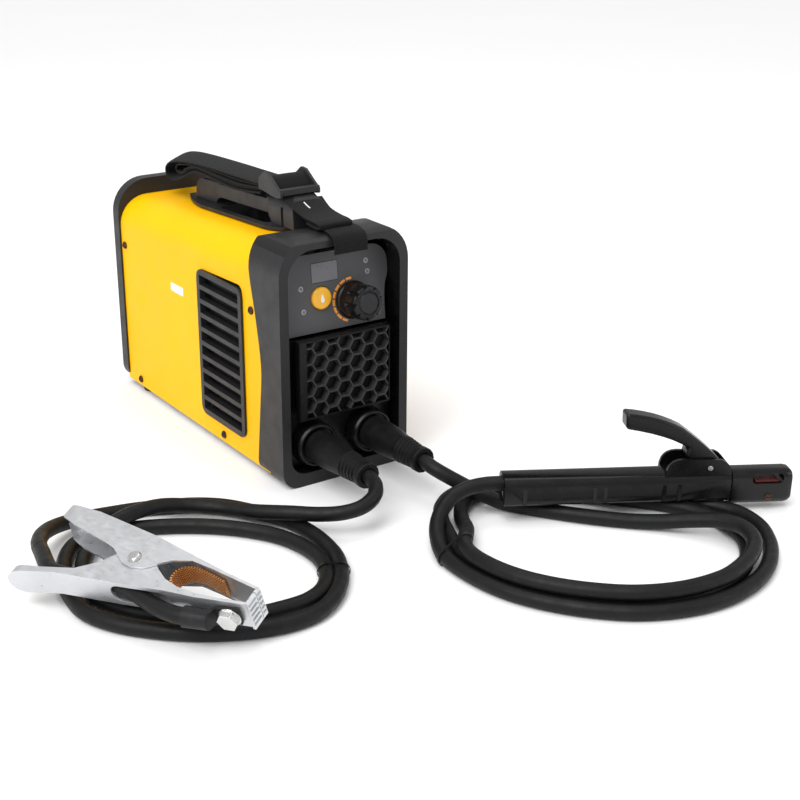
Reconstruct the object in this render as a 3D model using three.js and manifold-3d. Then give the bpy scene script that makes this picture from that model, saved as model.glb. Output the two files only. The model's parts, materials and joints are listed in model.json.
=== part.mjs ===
// Stick welder: a portable inverter welding machine with its electrode lead and earth lead.
// Millimetres, +Z up, the machine's front faces -Y and its right side, seen from the front, is +X.
// The machine stands at the origin of its own group. The holder and the clamp lie on their cables
// in front of it. The outer group moves everything so that the origin is under the centre.

import * as THREE from "three";
import { mergeVertices } from "three/addons/utils/BufferGeometryUtils.js";
import Module from "manifold-3d";

const wasm = await Module();
wasm.setup();

// ---------------------------------------------------------------- driving dimensions
const OFFSET = [24.8, 122.2, 0];   // from the machine's own centre to the whole object's
const GAP = 0.3;                   // clearance kept between pieces that touch

const SHELL_HALF = 57.5;           // half of the sheet-metal cover's width
const SHELL_TOP = 187.5;           // cover height over the machine's middle
const SHELL_BOTTOM = 7;            // lower edge of the cover's sides
const SHELL_CORNER = 27;           // radius of the cover's top bends
const SHEET = 1.5;                 // thickness of the sheet-metal parts
const TOP_SLOPE = 0.05;            // the cover rises this much per mm towards the front
const SHELL_FRONT = -122;
const SHELL_REAR = 141.5;
const REAR_BEZEL_FRONT = 138.6;

const FRONT = -146;                // plane of the front bezel's rim
const REAR = 150;                  // plane of the rear bezel's rim
const BEZEL_HALF = 59.4;
const BEZEL_TOP = 204;
const REAR_BEZEL_TOP = 195;
const RECESS_HALF = 51.5;          // half width of the front bezel's opening

const VENT = { front: -85.8, rear: -10.8, bottom: 23.9, top: 152.2, slats: 9 };
const SCREW_SPOTS = [[131.5, 137.9], [-99, 138.5], [114.7, 13.5], [-45.7, 14]];

const PANEL = { top: [-126.5, 184.5], bottom: [-134, 121] };   // [y, z] of its leaning face
const PANEL_LEAN = Math.atan2(PANEL.top[0] - PANEL.bottom[0], PANEL.top[1] - PANEL.bottom[1]);
const KNOB = { x: 15.5, up: 22.5, radius: 14, length: 24 };
const BUTTON = { x: -13, up: 28.3, radius: 9 };
const DISPLAY = { x: -8, up: 48.5, width: 24.5, height: 16 };

const GRILLE = { left: -43, right: 42, bottom: 56, top: 121.7, row: 13.23 };
const SOCKET = { x: 26, z: 32, radius: 18.5 };
const DISH = { front: -60, rear: 26, half: 20, depth: 20 };   // hollow under the grip
const PLUG_LENGTH = 70;            // from the socket's ring to the end of the rubber boot
const CABLE = 11.5;                // outer diameter of both welding cables
const STRAP = { left: -19, right: 12.5 };   // sides of the folded webbing
const FLOOR = 5.9;                 // height of a cable's centre where it lies on the floor

const HOLDER = { at: [53, -280, 16], turn: -27.8, dip: 1.1, length: 176 };
const CLAMP = { at: [-236, -260, 35.6], turn: -64, roll: 21, half: 12.5 };

// ---------------------------------------------------------------- cable routes
// Points in the machine's own frame, from the plug to the tool, in the order the cable runs.
const EARTH_ROUTE = [
  [-26, -211, 32], [-26, -217.5, 31.9], [-28, -229, 30], [-36, -239, 26.8], [-49, -243, 23.4],
  [-63, -238.5, 20.6], [-77, -227, 18.5], [-93, -211, 17.6], [-110, -189, 14.5], [-126, -162, 11], [-145, -148, 12.5], [-164, -144, 16],
  [-185, -146, 17.8], [-206, -150, 16], [-222, -156, 11.5], [-234, -166, 7], [-244, -180, FLOOR],
  [-252, -202, FLOOR], [-255, -228, FLOOR], [-245, -254, FLOOR], [-227, -277, FLOOR],
  [-204, -296, FLOOR], [-180, -308, FLOOR], [-159, -312, FLOOR], [-139, -312, FLOOR],
  [-122, -304, FLOOR], [-109, -288, FLOOR], [-101, -266, FLOOR], [-101, -242, FLOOR],
  [-107, -220, FLOOR], [-119, -200, FLOOR], [-134, -183, FLOOR], [-152, -168, FLOOR],
  [-170, -157, FLOOR], [-187, -149, FLOOR], [-206, -143, FLOOR], [-223, -142, FLOOR],
  [-239, -150, FLOOR], [-252, -167, FLOOR], [-264, -194, FLOOR], [-269, -220, FLOOR],
  [-269, -243, FLOOR], [-260, -265, FLOOR], [-244, -286, FLOOR], [-225, -304, FLOOR],
  [-207, -316, FLOOR], [-188, -325, FLOOR], [-165, -331, FLOOR], [-144, -330, FLOOR],
  [-123, -319, FLOOR], [-104, -299, FLOOR], [-90, -272, FLOOR], [-85, -247, FLOOR],
  [-85, -222, FLOOR], [-90, -198, FLOOR], [-102, -174, FLOOR], [-116, -152, FLOOR],
  [-134, -137, FLOOR], [-153, -128, FLOOR], [-174, -120, FLOOR], [-196, -116, 6.5],
  [-218, -117, 9], [-238, -125, 13], [-255, -140, 18], [-267, -160, 22], [-273, -182, 24.5],
];
// The earth cable's last stretch runs inside the clamp's lower handle and out through its slot.
const CLAMP_ROUTE = [
  [-62, -19, -2], [-50, -20.6, -0.5], [-36, -19.2, 0], [-22, -17.4, 0], [-8, -15.6, 0],
  [5, -17, 0], [16, -20, 0], [27, -22.8, 0], [37, -24.4, 0], [46, -24.6, 0], [53, -23.75, 0],
  [58.6, -22.8, 0],
];
const ELECTRODE_ROUTE = [
  [26, -211, 32], [26, -217, 31.9], [27.5, -227, 29.5], [34, -236.5, 24.5], [44, -245.5, 17.5],
  [54, -257, 11], [63, -269, 7], [73, -283, FLOOR], [86, -301, FLOOR], [104, -324, FLOOR], [124, -346, FLOOR],
  [141, -364, 8], [155, -382, 12.5], [165, -400, 16.5], [168, -418, 17.8], [161, -435, 17],
  [146, -447, 16.2], [128, -455, 16.2], [104, -460.5, 16.2], [70, -457, 16.2], [40, -444, 16.2],
  [18, -426, 16.2], [-1, -403, 16.2], [-13, -380, 16.2], [-19, -355, 16.2], [-18, -331, 16],
  [-8, -314, 14.5], [3, -302, 11], [13, -289, 7.5], [21, -273, FLOOR], [32, -258, FLOOR],
  [48, -247.5, FLOOR], [67, -246, FLOOR], [86, -254, FLOOR], [104, -270, FLOOR],
  [126, -292, FLOOR], [148, -318, FLOOR], [167, -342, FLOOR], [178, -364, FLOOR],
  [181, -388, FLOOR], [175, -411, FLOOR], [160, -431, FLOOR], [132, -450, FLOOR],
  [98, -457, FLOOR], [68, -452, FLOOR], [42, -439, FLOOR], [22, -421, FLOOR], [5, -399, FLOOR],
  [-7, -377, FLOOR], [-13, -355, FLOOR], [-14, -330, FLOOR], [-10, -307, FLOOR],
  [-1, -285, FLOOR], [8, -265, FLOOR], [20, -248, FLOOR], [37, -236.5, FLOOR],
  [56, -232.5, FLOOR], [76, -235, FLOOR], [95, -245, FLOOR], [114, -262, FLOOR],
  [137, -285, FLOOR], [160, -311, FLOOR], [180, -338, FLOOR], [194.5, -361, FLOOR],
  [203, -382, FLOOR], [200, -405, FLOOR], [187, -427, FLOOR], [165, -448, FLOOR],
  [135, -463.5, FLOOR], [98, -469.5, FLOOR], [65, -464, FLOOR], [35, -450, FLOOR],
  [13, -431, FLOOR], [-6, -407, FLOOR], [-19, -382, FLOOR], [-25.5, -356, FLOOR],
  [-27, -330, FLOOR], [-25, -311, 6.5], [-18, -295, 9.5], [-9, -282, 14.5], [3, -273, 20],
  [16, -268.6, 25], [29.5, -269.9, 28.6], [41.8, -274.1, 30], [47.7, -277.2, 30.2],
  [53, -280, 30.2], [64, -285.8, 30],
];

// ---------------------------------------------------------------- solids
function solid(geometry) {
  const bare = geometry.clone();
  bare.deleteAttribute("normal");
  bare.deleteAttribute("uv");
  const merged = mergeVertices(bare, 1e-4);
  return new wasm.Manifold(new wasm.Mesh({
    numProp: 3,
    vertProperties: new Float32Array(merged.attributes.position.array),
    triVerts: Uint32Array.from(merged.index.array),
  }));
}

function geometryOf(body) {
  const mesh = body.getMesh();
  const geometry = new THREE.BufferGeometry();
  geometry.setAttribute("position", new THREE.BufferAttribute(mesh.vertProperties, 3));
  geometry.setIndex(new THREE.BufferAttribute(mesh.triVerts, 1));
  geometry.computeVertexNormals();
  return geometry;
}

// A block from its lowest corner to its highest.
function block(low, high) {
  const size = high.map((value, i) => value - low[i]);
  const geometry = new THREE.BoxGeometry(...size);
  geometry.translate(...low.map((value, i) => value + size[i] / 2));
  return solid(geometry);
}

// A round bar along "x", "y" or "z", starting at a point.
function rod(axis, start, length, radius, endRadius = radius, sides = 20) {
  const geometry = new THREE.CylinderGeometry(endRadius, radius, length, sides);
  geometry.translate(0, length / 2, 0);
  if (axis === "x") geometry.rotateZ(-Math.PI / 2);
  if (axis === "z") geometry.rotateX(Math.PI / 2);
  geometry.translate(...start);
  return solid(geometry);
}

// A turned piece: profile is [radius, height] pairs, starting and ending on the axis.
function turned(axis, start, profile, sides = 20) {
  const points = profile.map(([radius, height]) => new THREE.Vector2(radius, height));
  const geometry = new THREE.LatheGeometry(points, sides);
  if (axis === "x") geometry.rotateZ(-Math.PI / 2);
  if (axis === "z") geometry.rotateX(Math.PI / 2);
  if (axis === "-y") geometry.rotateX(Math.PI);
  geometry.translate(...start);
  return solid(geometry);
}

// An outline pushed along one axis. The outline's two coordinates are the other two axes:
// (x, y) for "z", (x, z) for "y" and (y, z) for "x". The piece fills start to start + depth.
function pushed(axis, shape, start, depth, curveSegments = 5) {
  const geometry = new THREE.ExtrudeGeometry(shape, { depth, bevelEnabled: false, curveSegments });
  if (axis === "y") {
    geometry.rotateX(Math.PI / 2);
    geometry.translate(0, start + depth, 0);
  } else if (axis === "x") {
    const turn = new THREE.Matrix4();
    turn.makeBasis(new THREE.Vector3(0, 1, 0), new THREE.Vector3(0, 0, 1), new THREE.Vector3(1, 0, 0));
    geometry.applyMatrix4(turn);
    geometry.translate(start, 0, 0);
  } else {
    geometry.translate(0, 0, start);
  }
  return solid(geometry);
}

// A rectangle with its own radius at the low and at the high corners.
function roundedRect(x0, y0, x1, y1, low, high = low) {
  const shape = new THREE.Shape();
  shape.moveTo(x0 + low, y0);
  shape.lineTo(x1 - low, y0);
  shape.absarc(x1 - low, y0 + low, low, -Math.PI / 2, 0);
  shape.lineTo(x1, y1 - high);
  shape.absarc(x1 - high, y1 - high, high, 0, Math.PI / 2);
  shape.lineTo(x0 + high, y1);
  shape.absarc(x0 + high, y1 - high, high, Math.PI / 2, Math.PI);
  shape.lineTo(x0, y0 + low);
  shape.absarc(x0 + low, y0 + low, low, Math.PI, 1.5 * Math.PI);
  return shape;
}

function outline(points) {
  return new THREE.Shape(points.map(([a, b]) => new THREE.Vector2(a, b)));
}

function hexagon(x, z, radius) {
  const corners = [];
  for (let i = 0; i < 6; i += 1) {
    corners.push([x + radius * Math.cos(i * Math.PI / 3), z + radius * Math.sin(i * Math.PI / 3)]);
  }
  return outline(corners);
}

// The cover's top slopes gently up towards the front.
function slopeTop(geometry) {
  const place = geometry.attributes.position;
  for (let i = 0; i < place.count; i += 1) {
    const share = Math.max(0, place.getZ(i) - SHELL_BOTTOM) / (SHELL_TOP - SHELL_BOTTOM);
    place.setZ(i, place.getZ(i) - share * TOP_SLOPE * place.getY(i));
  }
  geometry.computeVertexNormals();
  return geometry;
}

// ---------------------------------------------------------------- materials
const COLOURS = {
  yellowPaint: [0xffc400, 0.35, 0.0],
  darkPlastic: [0x333436, 0.5, 0.0],
  blackPlastic: [0x161616, 0.45, 0.0],
  greyPanel: [0x5b5b5d, 0.55, 0.0],
  window: [0x77777c, 0.2, 0.0],
  orangeButton: [0xf7b212, 0.4, 0.0],
  rubber: [0x1b1b1b, 0.8, 0.0],
  webbing: [0x141414, 0.95, 0.0],
  zincSteel: [0xc4c6c8, 0.35, 0.9],
  darkSteel: [0x2b1c16, 0.4, 0.8],
  copper: [0xc26a2e, 0.45, 0.9],
  brass: [0xb8913f, 0.35, 0.9],
  aluminium: [0xb9bcc0, 0.4, 0.9],
  greenBoard: [0x1f5b35, 0.5, 0.0],
};

function mesh(name, shape, colour) {
  const [color, roughness, metalness] = COLOURS[colour];
  const geometry = shape.isBufferGeometry ? shape : geometryOf(shape);
  const piece = new THREE.Mesh(geometry, new THREE.MeshStandardMaterial({ color, roughness, metalness }));
  piece.name = name;
  return piece;
}

// ---------------------------------------------------------------- cover, base and bezels
function coverShell() {
  const outer = roundedRect(-SHELL_HALF, SHELL_BOTTOM - 40, SHELL_HALF, SHELL_TOP, 1, SHELL_CORNER);
  const inner = roundedRect(-SHELL_HALF + SHEET, SHELL_BOTTOM - 50, SHELL_HALF - SHEET,
    SHELL_TOP - SHEET, 1, SHELL_CORNER - SHEET);
  const length = SHELL_REAR - SHELL_FRONT;
  const below = block([-70, -200, -60], [70, 200, SHELL_BOTTOM]);
  const hole = roundedRect(VENT.front + 1, VENT.bottom + 1, VENT.rear - 1, VENT.top - 1, 7);
  const body = pushed("y", outer, SHELL_FRONT, length)
    .subtract(pushed("y", inner, SHELL_FRONT - 5, length + 10))
    .subtract(below)
    .subtract(pushed("x", hole, -80, 160, 4))
    .subtract(block([-22, DISH.front - 2, 150], [22, DISH.rear + 2, 220]));
  return mesh("cover_shell", slopeTop(geometryOf(body)), "yellowPaint");
}

function basePan() {
  const half = SHELL_HALF - SHEET - GAP;
  const length = SHELL_REAR - SHELL_FRONT - 4;
  const front = SHELL_FRONT + 2;
  const tray = block([-half, front, SHELL_BOTTOM], [half, front + length, 22])
    .subtract(block([-half + SHEET, front - 1, SHELL_BOTTOM + SHEET], [half - SHEET, 200, 30]));
  return mesh("base_pan", tray, "zincSteel");
}

// The cover's outline with clearance, used to open the bezels over it.
function coverSleeve(front, length) {
  const outer = roundedRect(-SHELL_HALF - GAP, SHELL_BOTTOM - 0.4, SHELL_HALF + GAP, SHELL_TOP + GAP,
    1, SHELL_CORNER);
  return solid(slopeTop(geometryOf(pushed("y", outer, front, length))));
}

// The front bezel: a deep moulded frame whose rear edge sweeps in an S over the cover's sides.
function frontBezel() {
  const wallFront = -124;
  const outer = pushed("y", roundedRect(-BEZEL_HALF, 0, BEZEL_HALF, BEZEL_TOP, 15, 30), FRONT, 54);
  const opening = roundedRect(-RECESS_HALF, 11, RECESS_HALF, BEZEL_TOP - 10, 14, 22);
  const side = new THREE.Shape();
  side.moveTo(FRONT - 1, -1);
  side.lineTo(-106, -1);
  side.splineThru([[-106, 10], [-112, 62], [-115, 96], [-109, 133], [-101, 166], [-99.5, 182],
    [-97, 197]].map(([y, z]) => new THREE.Vector2(y, z)));
  side.lineTo(-116, 202);
  side.lineTo(-132, 203.5);
  side.lineTo(-142, 201.5);
  side.lineTo(FRONT - 1, 198.5);
  const body = outer
    .intersect(pushed("x", side, -80, 160, 4))
    .subtract(pushed("y", opening, FRONT - 5, 100, 6))
    .subtract(coverSleeve(wallFront, 80));
  return mesh("front_bezel", body, "darkPlastic");
}

function rearBezel() {
  const outer = pushed("y", roundedRect(-BEZEL_HALF, 5, BEZEL_HALF, REAR_BEZEL_TOP, 14, 30),
    REAR_BEZEL_FRONT, REAR - REAR_BEZEL_FRONT);
  const opening = roundedRect(-50, 15, 50, REAR_BEZEL_TOP - 22, 8, 20);
  const body = outer
    .subtract(pushed("y", opening, 100, 100))
    .subtract(coverSleeve(90, SHELL_REAR + GAP - 90));
  return mesh("rear_bezel", body, "darkPlastic");
}

function rearFoot(name, x) {
  const foot = rod("z", [x, 118, 0], SHELL_BOTTOM - GAP, 8, 10, 16);
  return mesh(name, foot, "rubber");
}

// Vent insert: a rounded frame with nine level slats, clipped into the cover's side.
function ventInsert(name, side) {
  const frame = roundedRect(VENT.front, VENT.bottom, VENT.rear, VENT.top, 8);
  const rim = pushed("x", frame, 0, 2, 4);
  const neck = pushed("x", roundedRect(VENT.front + 1.4, VENT.bottom + 1.4, VENT.rear - 1.4,
    VENT.top - 1.4, 6.6), -4.5, 5, 4);
  const margin = 5;
  const pitch = (VENT.top - VENT.bottom - 2 * margin + 4) / (VENT.slats + 1);
  let body = rim.add(neck);
  for (let i = 0; i <= VENT.slats; i += 1) {
    const low = VENT.bottom + margin + i * pitch;
    body = body.subtract(block([-20, VENT.front + margin, low], [20, VENT.rear - margin, low + pitch - 4]));
  }
  const piece = mesh(name, body, "darkPlastic");
  piece.position.x = side * (SHELL_HALF + GAP);
  piece.rotation.z = side < 0 ? Math.PI : 0;
  if (side < 0) piece.position.y = VENT.front + VENT.rear;
  return piece;
}

// A pan-head screw with a cross recess, lying against the cover's side.
function sideScrew(name, side, y, z) {
  const head = turned("x", [0, 0, 0], [[0, 0], [3.4, 0], [3.2, 1.1], [2, 1.9], [0, 2.1]], 14);
  const cross = block([1.1, -1.8, -0.4], [4, 1.8, 0.4]).add(block([1.1, -0.4, -1.8], [4, 0.4, 1.8]));
  const piece = mesh(name, head.subtract(cross), "darkSteel");
  piece.position.set(side * (SHELL_HALF + GAP), y, z);
  piece.rotation.z = side < 0 ? Math.PI : 0;
  return piece;
}

// ---------------------------------------------------------------- front: panel, grille, sockets
// The control panel's own group: x across, y up the leaning face, z straight out of it.
function panelGroup() {
  const group = new THREE.Group();
  group.position.set(0, PANEL.bottom[0], PANEL.bottom[1]);
  group.rotation.x = Math.PI / 2 - PANEL_LEAN;
  return group;
}

const PANEL_HEIGHT = Math.hypot(PANEL.top[0] - PANEL.bottom[0], PANEL.top[1] - PANEL.bottom[1]);

function controlPanel() {
  const top = PANEL_HEIGHT;
  const shape = new THREE.Shape();
  shape.moveTo(-46, 1.6);
  shape.lineTo(46, 1.6);
  shape.quadraticCurveTo(46, top - 34, 49, top - 30);
  shape.quadraticCurveTo(51, top - 26, 51, top - 20);
  shape.lineTo(51, top - 15);
  shape.absarc(36, top - 15, 15, 0, Math.PI / 2);
  shape.lineTo(-36, top);
  shape.absarc(-36, top - 15, 15, Math.PI / 2, Math.PI);
  shape.lineTo(-51, top - 20);
  shape.quadraticCurveTo(-51, top - 26, -49, top - 30);
  shape.quadraticCurveTo(-46, top - 34, -46, 1.6);
  const body = pushed("z", shape, -2.5, 2.5, 5)
    .subtract(rod("z", [KNOB.x, KNOB.up, -5], 10, 3.6, 3.6, 16))
    .subtract(rod("z", [BUTTON.x, BUTTON.up, -5], 10, BUTTON.radius + 0.5, BUTTON.radius + 0.5, 24))
    .subtract(block([DISPLAY.x - DISPLAY.width / 2, DISPLAY.up - DISPLAY.height / 2, -5],
      [DISPLAY.x + DISPLAY.width / 2, DISPLAY.up + DISPLAY.height / 2, 5]));
  return mesh("control_panel", body, "greyPanel");
}

function displayWindow() {
  const half = [DISPLAY.width / 2 - GAP, DISPLAY.height / 2 - GAP];
  const body = block([DISPLAY.x - half[0], DISPLAY.up - half[1], -2],
    [DISPLAY.x + half[0], DISPLAY.up + half[1], 0.2]);
  return mesh("display_window", body, "window");
}

function modeButton() {
  const body = turned("z", [BUTTON.x, BUTTON.up, -4.5], [[0, 0], [BUTTON.radius, 0],
    [BUTTON.radius, 6], [BUTTON.radius - 1, 6.9], [0, 7.2]], 24);
  return mesh("mode_button", body, "orangeButton");
}

// The current knob: a fluted grip with a flat end and a shaft that goes through the panel.
function currentKnob() {
  let body = turned("z", [KNOB.x, KNOB.up, GAP + 0.2], [[0, 0], [KNOB.radius + 1, 0],
    [KNOB.radius + 1, 3], [KNOB.radius, 4.5], [KNOB.radius - 0.8, KNOB.length - 1],
    [KNOB.radius - 2, KNOB.length], [0, KNOB.length]], 30);
  for (let i = 0; i < 10; i += 1) {
    const angle = i * Math.PI / 5 + 0.3;
    const reach = KNOB.radius + 1.2;
    body = body.subtract(rod("z", [KNOB.x + reach * Math.cos(angle), KNOB.up + reach * Math.sin(angle), 5.5],
      KNOB.length, 2.6, 2.6, 8));
  }
  body = body.add(rod("z", [KNOB.x, KNOB.up, -9], 12, 3, 3, 14));
  return mesh("current_knob", body, "blackPlastic");
}

function potentiometer() {
  const can = rod("z", [KNOB.x, KNOB.up, -17], 7.7, 9, 9, 18);
  return mesh("potentiometer", can, "zincSteel");
}

function controlBoard() {
  return mesh("control_board", block([-40, 4, -19.2], [40, 58, -17.6]), "greenBoard");
}

// Black lower front: a wall with the two socket holes and an air opening behind the grille.
function lowerFascia() {
  const wall = pushed("y", roundedRect(-50.8, 12, 50.8, 119, 13, 2), -132, 3, 5);
  const air = block([-38, -140, 62], [38, -120, 114]);
  let body = wall.subtract(air);
  for (const side of [-1, 1]) {
    body = body.subtract(rod("y", [side * SOCKET.x, -140, SOCKET.z], 20, 15.5, 15.5, 28));
  }
  return mesh("lower_fascia", body, "blackPlastic");
}

// Raised block with a honeycomb of hexagonal air holes.
function hexGrille() {
  const { left, right, bottom, top, row } = GRILLE;
  const front = FRONT - 0.6;
  const back = -132 - GAP;
  const shell = block([left, front, bottom], [right, back, top])
    .subtract(block([left + 2, front + 2.5, bottom + 2], [right - 2, back + 5, top - 2]));
  const step = row * Math.sqrt(3) / 2;
  const radius = (row - 1.6) / Math.sqrt(3);
  const window = block([left + 3, front - 1, bottom + 3], [right - 3, front + 6, top - 3]);
  let holes = null;
  for (let column = -4; column <= 4; column += 1) {
    for (let line = -1; line < 6; line += 1) {
      const lift = column % 2 === 0 ? row / 2 : 0;
      const x = (left + right) / 2 + column * step;
      const z = 108.9 - line * row + lift;
      const cell = pushed("y", hexagon(x, z, radius), front - 1, 5).intersect(window);
      if (cell.isEmpty() || cell.volume() < 20) continue;
      holes = holes ? holes.add(cell) : cell;
    }
  }
  return mesh("hex_grille", shell.subtract(holes), "blackPlastic");
}

// Panel socket: an insulated body with a stepped ring, open in the middle for the plug.
function socket(name, x) {
  const body = turned("-y", [x, -118, SOCKET.z], [[0, 0], [14.5, 0], [14.5, 14.3],
    [SOCKET.radius, 14.3], [SOCKET.radius, 26], [SOCKET.radius - 1.5, 28.3], [15.4, 28.3],
    [15.4, 26.3], [0, 26.3]], 28)
    .subtract(rod("y", [x, -152, SOCKET.z], 26, 10.4, 10.4, 24));
  return mesh(name, body, "blackPlastic");
}

// Cable plug: a brass pin in front of a rubber grip that tapers to a ribbed boot.
function plugPin(name, x) {
  const body = turned("-y", [x, -130, SOCKET.z], [[0, 0], [7.5, 0], [8, 1], [8, 12.8], [0, 12.8]], 20);
  return mesh(name, body, "brass");
}

function plugBoot(name, x) {
  const start = FRONT + 2.9;
  const end = PLUG_LENGTH + 3.2;
  const profile = [[0, 0], [9.8, 0], [9.8, 3.5], [14, 3.5], [13.6, 22], [12.2, 36], [11, 44]];
  for (let rib = 0; rib < 5; rib += 1) {
    const along = 46 + rib * 4;
    const radius = 11.4 - rib * 0.35;
    profile.push([radius, along], [radius, along + 2], [radius - 1.3, along + 2.2], [radius - 1.4, along + 3.8]);
  }
  profile.push([10.4, end - 6], [10.4, end - 0.6], [9.8, end], [0, end]);
  const body = turned("-y", [x, start, SOCKET.z], profile, 16)
    .subtract(rod("y", [x, start - end - 1, SOCKET.z], 8, 6.4, 6.4, 16));
  return mesh(name, body, "rubber");
}

// ---------------------------------------------------------------- rear and inside
function rearPanel() {
  const y = 132;
  const wall = pushed("y", roundedRect(-53.5, 9.5, 53.5, SHELL_TOP - 10.5, 1, SHELL_CORNER - 4), y, 2);
  let body = wall
    .subtract(block([18, 100, 140], [42, 160, 156]))
    .subtract(rod("y", [-28, 100, 150], 60, 9.6, 9.6, 20));
  for (let ring = 0; ring < 3; ring += 1) {
    const outer = 17 + ring * 9;
    body = body.subtract(rod("y", [0, 100, 78], 60, outer, outer, 20)
      .subtract(rod("y", [0, 90, 78], 80, outer - 5.6, outer - 5.6, 20))
      .subtract(block([-50, 95, 76], [50, 165, 80]))
      .subtract(block([-2, 95, 30], [2, 165, 130])));
  }
  return mesh("rear_panel", body, "darkPlastic");
}

function fanFrame() {
  const rear = 132 - GAP;
  const box = block([-40, rear - 25, 38], [40, rear, 118])
    .subtract(rod("y", [0, 90, 78], 60, 38, 38, 32));
  const hub = rod("y", [0, rear - 3, 78], 3, 13, 13, 20);
  const spider = block([-39, rear - 2.5, 76], [39, rear, 80]).add(block([-2, rear - 2.5, 39], [2, rear, 117]));
  return mesh("fan_frame", box.add(hub).add(spider), "blackPlastic");
}

function fanRotor() {
  const rear = 132 - GAP;
  let body = rod("y", [0, rear - 23, 78], 19.5, 14, 14, 20);
  for (let i = 0; i < 7; i += 1) {
    const blade = new THREE.BoxGeometry(1.6, 20, 25);
    blade.rotateZ(0.75);
    blade.translate(0, 0, 23.5);
    blade.rotateY(i * 2 * Math.PI / 7);
    blade.translate(0, rear - 13.5, 78);
    body = body.add(solid(blade));
  }
  return mesh("fan_rotor", body, "blackPlastic");
}

function powerSwitch() {
  const flange = block([16, 134 + GAP, 137.5], [44, 136, 158.5]);
  const body = block([18.5, 112, 140.5], [41.5, 136, 155.5]);
  const well = block([20, 118, 142], [40, 140, 154]);
  return mesh("power_switch_body", flange.add(body).subtract(well), "blackPlastic");
}

// The rocker's face is bent in the middle, so one end stands proud.
function powerRocker() {
  const side = outline([[137.6, 144], [134.2, 148], [134.2, 152.6], [126, 151.5], [124, 148], [126, 144.5]]);
  return mesh("power_rocker", pushed("x", side, 20.6, 18.8), "blackPlastic");
}

function cableGland() {
  const body = turned("y", [-28, 124, 150], [[0, 0], [9, 0], [9, 10.3], [13, 10.3], [13, 14],
    [10.5, 16], [9.5, 26], [0, 26]], 18).subtract(rod("y", [-28, 120, 150], 40, 5, 5, 16));
  return mesh("cable_gland", body, "blackPlastic");
}

function mainBoard() {
  return mesh("main_board", block([-52, -100, 60], [-50.2, 92, 160]), "greenBoard");
}

function heatsink() {
  let body = block([-47, -60, 62], [-43, 60, 150]);
  for (let i = 0; i < 7; i += 1) {
    const z = 63 + i * 14;
    body = body.add(block([-44, -60, z], [-8, 60, z + 2]));
  }
  return mesh("heatsink", body, "aluminium");
}

function transformer() {
  const core = block([0, -40, 9], [46, 16, 60]).subtract(block([11, -50, 21], [35, 30, 48]));
  const coil = rod("x", [10, -12, 34.5], 26, 14.5, 14.5, 20);
  return mesh("transformer", core.add(coil), "darkSteel");
}

function capacitor() {
  return mesh("capacitor", rod("x", [-2, -20, 110], 44, 17, 17, 20), "darkPlastic");
}

// ---------------------------------------------------------------- carry handle and strap
const HANDLE_Z = SHELL_TOP + 1.3;
function handleGroup() {
  const group = new THREE.Group();
  group.position.set(0, 0, HANDLE_Z);
  group.rotation.x = -Math.atan(TOP_SLOPE);
  return group;
}

// Dished base plate under the grip, narrower at its two ends, let into the cover's top.
function handleTray() {
  const shape = new THREE.Shape();
  shape.moveTo(-14, -84);
  shape.lineTo(14, -84);
  shape.quadraticCurveTo(24.5, -78, 24.5, -60);
  shape.lineTo(24.5, 44);
  shape.quadraticCurveTo(22, 70, 8, 96);
  shape.lineTo(-8, 96);
  shape.quadraticCurveTo(-22, 70, -24.5, 44);
  shape.lineTo(-24.5, -60);
  shape.quadraticCurveTo(-24.5, -78, -14, -84);
  const { front, rear, half, depth } = DISH;
  const pan = pushed("z", roundedRect(-half, front, half, rear, 9), -depth, depth + 1);
  const hollow = pushed("z", roundedRect(2 - half, front + 2, half - 2, rear - 2, 7), 2 - depth, 50);
  return mesh("handle_tray", pushed("z", shape, 0, 2.4, 5).add(pan).subtract(hollow), "darkPlastic");
}

// Grip bar along the machine: a slim rear post and a two-lobed front post under a rounded bar.
function handleGrip() {
  const base = 2.4 + GAP;
  const side = new THREE.Shape();
  side.moveTo(-97, base);
  side.lineTo(-97, 12);
  side.quadraticCurveTo(-97, 27, -80, 28.5);
  side.quadraticCurveTo(-64, 29, -50, 20.5);
  side.lineTo(64, 20.5);
  side.quadraticCurveTo(78, 20, 78, base);
  side.lineTo(40, base);
  side.quadraticCurveTo(38, 9, 26, 9.5);
  side.lineTo(-50, 9.5);
  side.quadraticCurveTo(-62, 9, -62, base);
  const section = new THREE.Shape();
  section.moveTo(-16, 0);
  section.lineTo(16, 0);
  section.lineTo(16, 15);
  section.absellipse(0, 15, 16, 14, 0, Math.PI);
  const narrow = pushed("z", roundedRect(-11, 24, 11, 84, 8), -1, 40);
  const wide = pushed("z", roundedRect(-16, -104, 16, -54, 6), -1, 40);
  const bar = block([-13, -60, 5], [13, 30, 40]);
  const body = pushed("x", side, -16, 32, 5)
    .intersect(pushed("y", section, -120, 240, 8))
    .intersect(narrow.add(wide).add(bar))
    .subtract(block([-20, -81.5, 0], [-12, -78, 18]))
    .subtract(block([12, -81.5, 0], [20, -78, 18]));
  return mesh("handle_grip", body, "darkPlastic");
}

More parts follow.
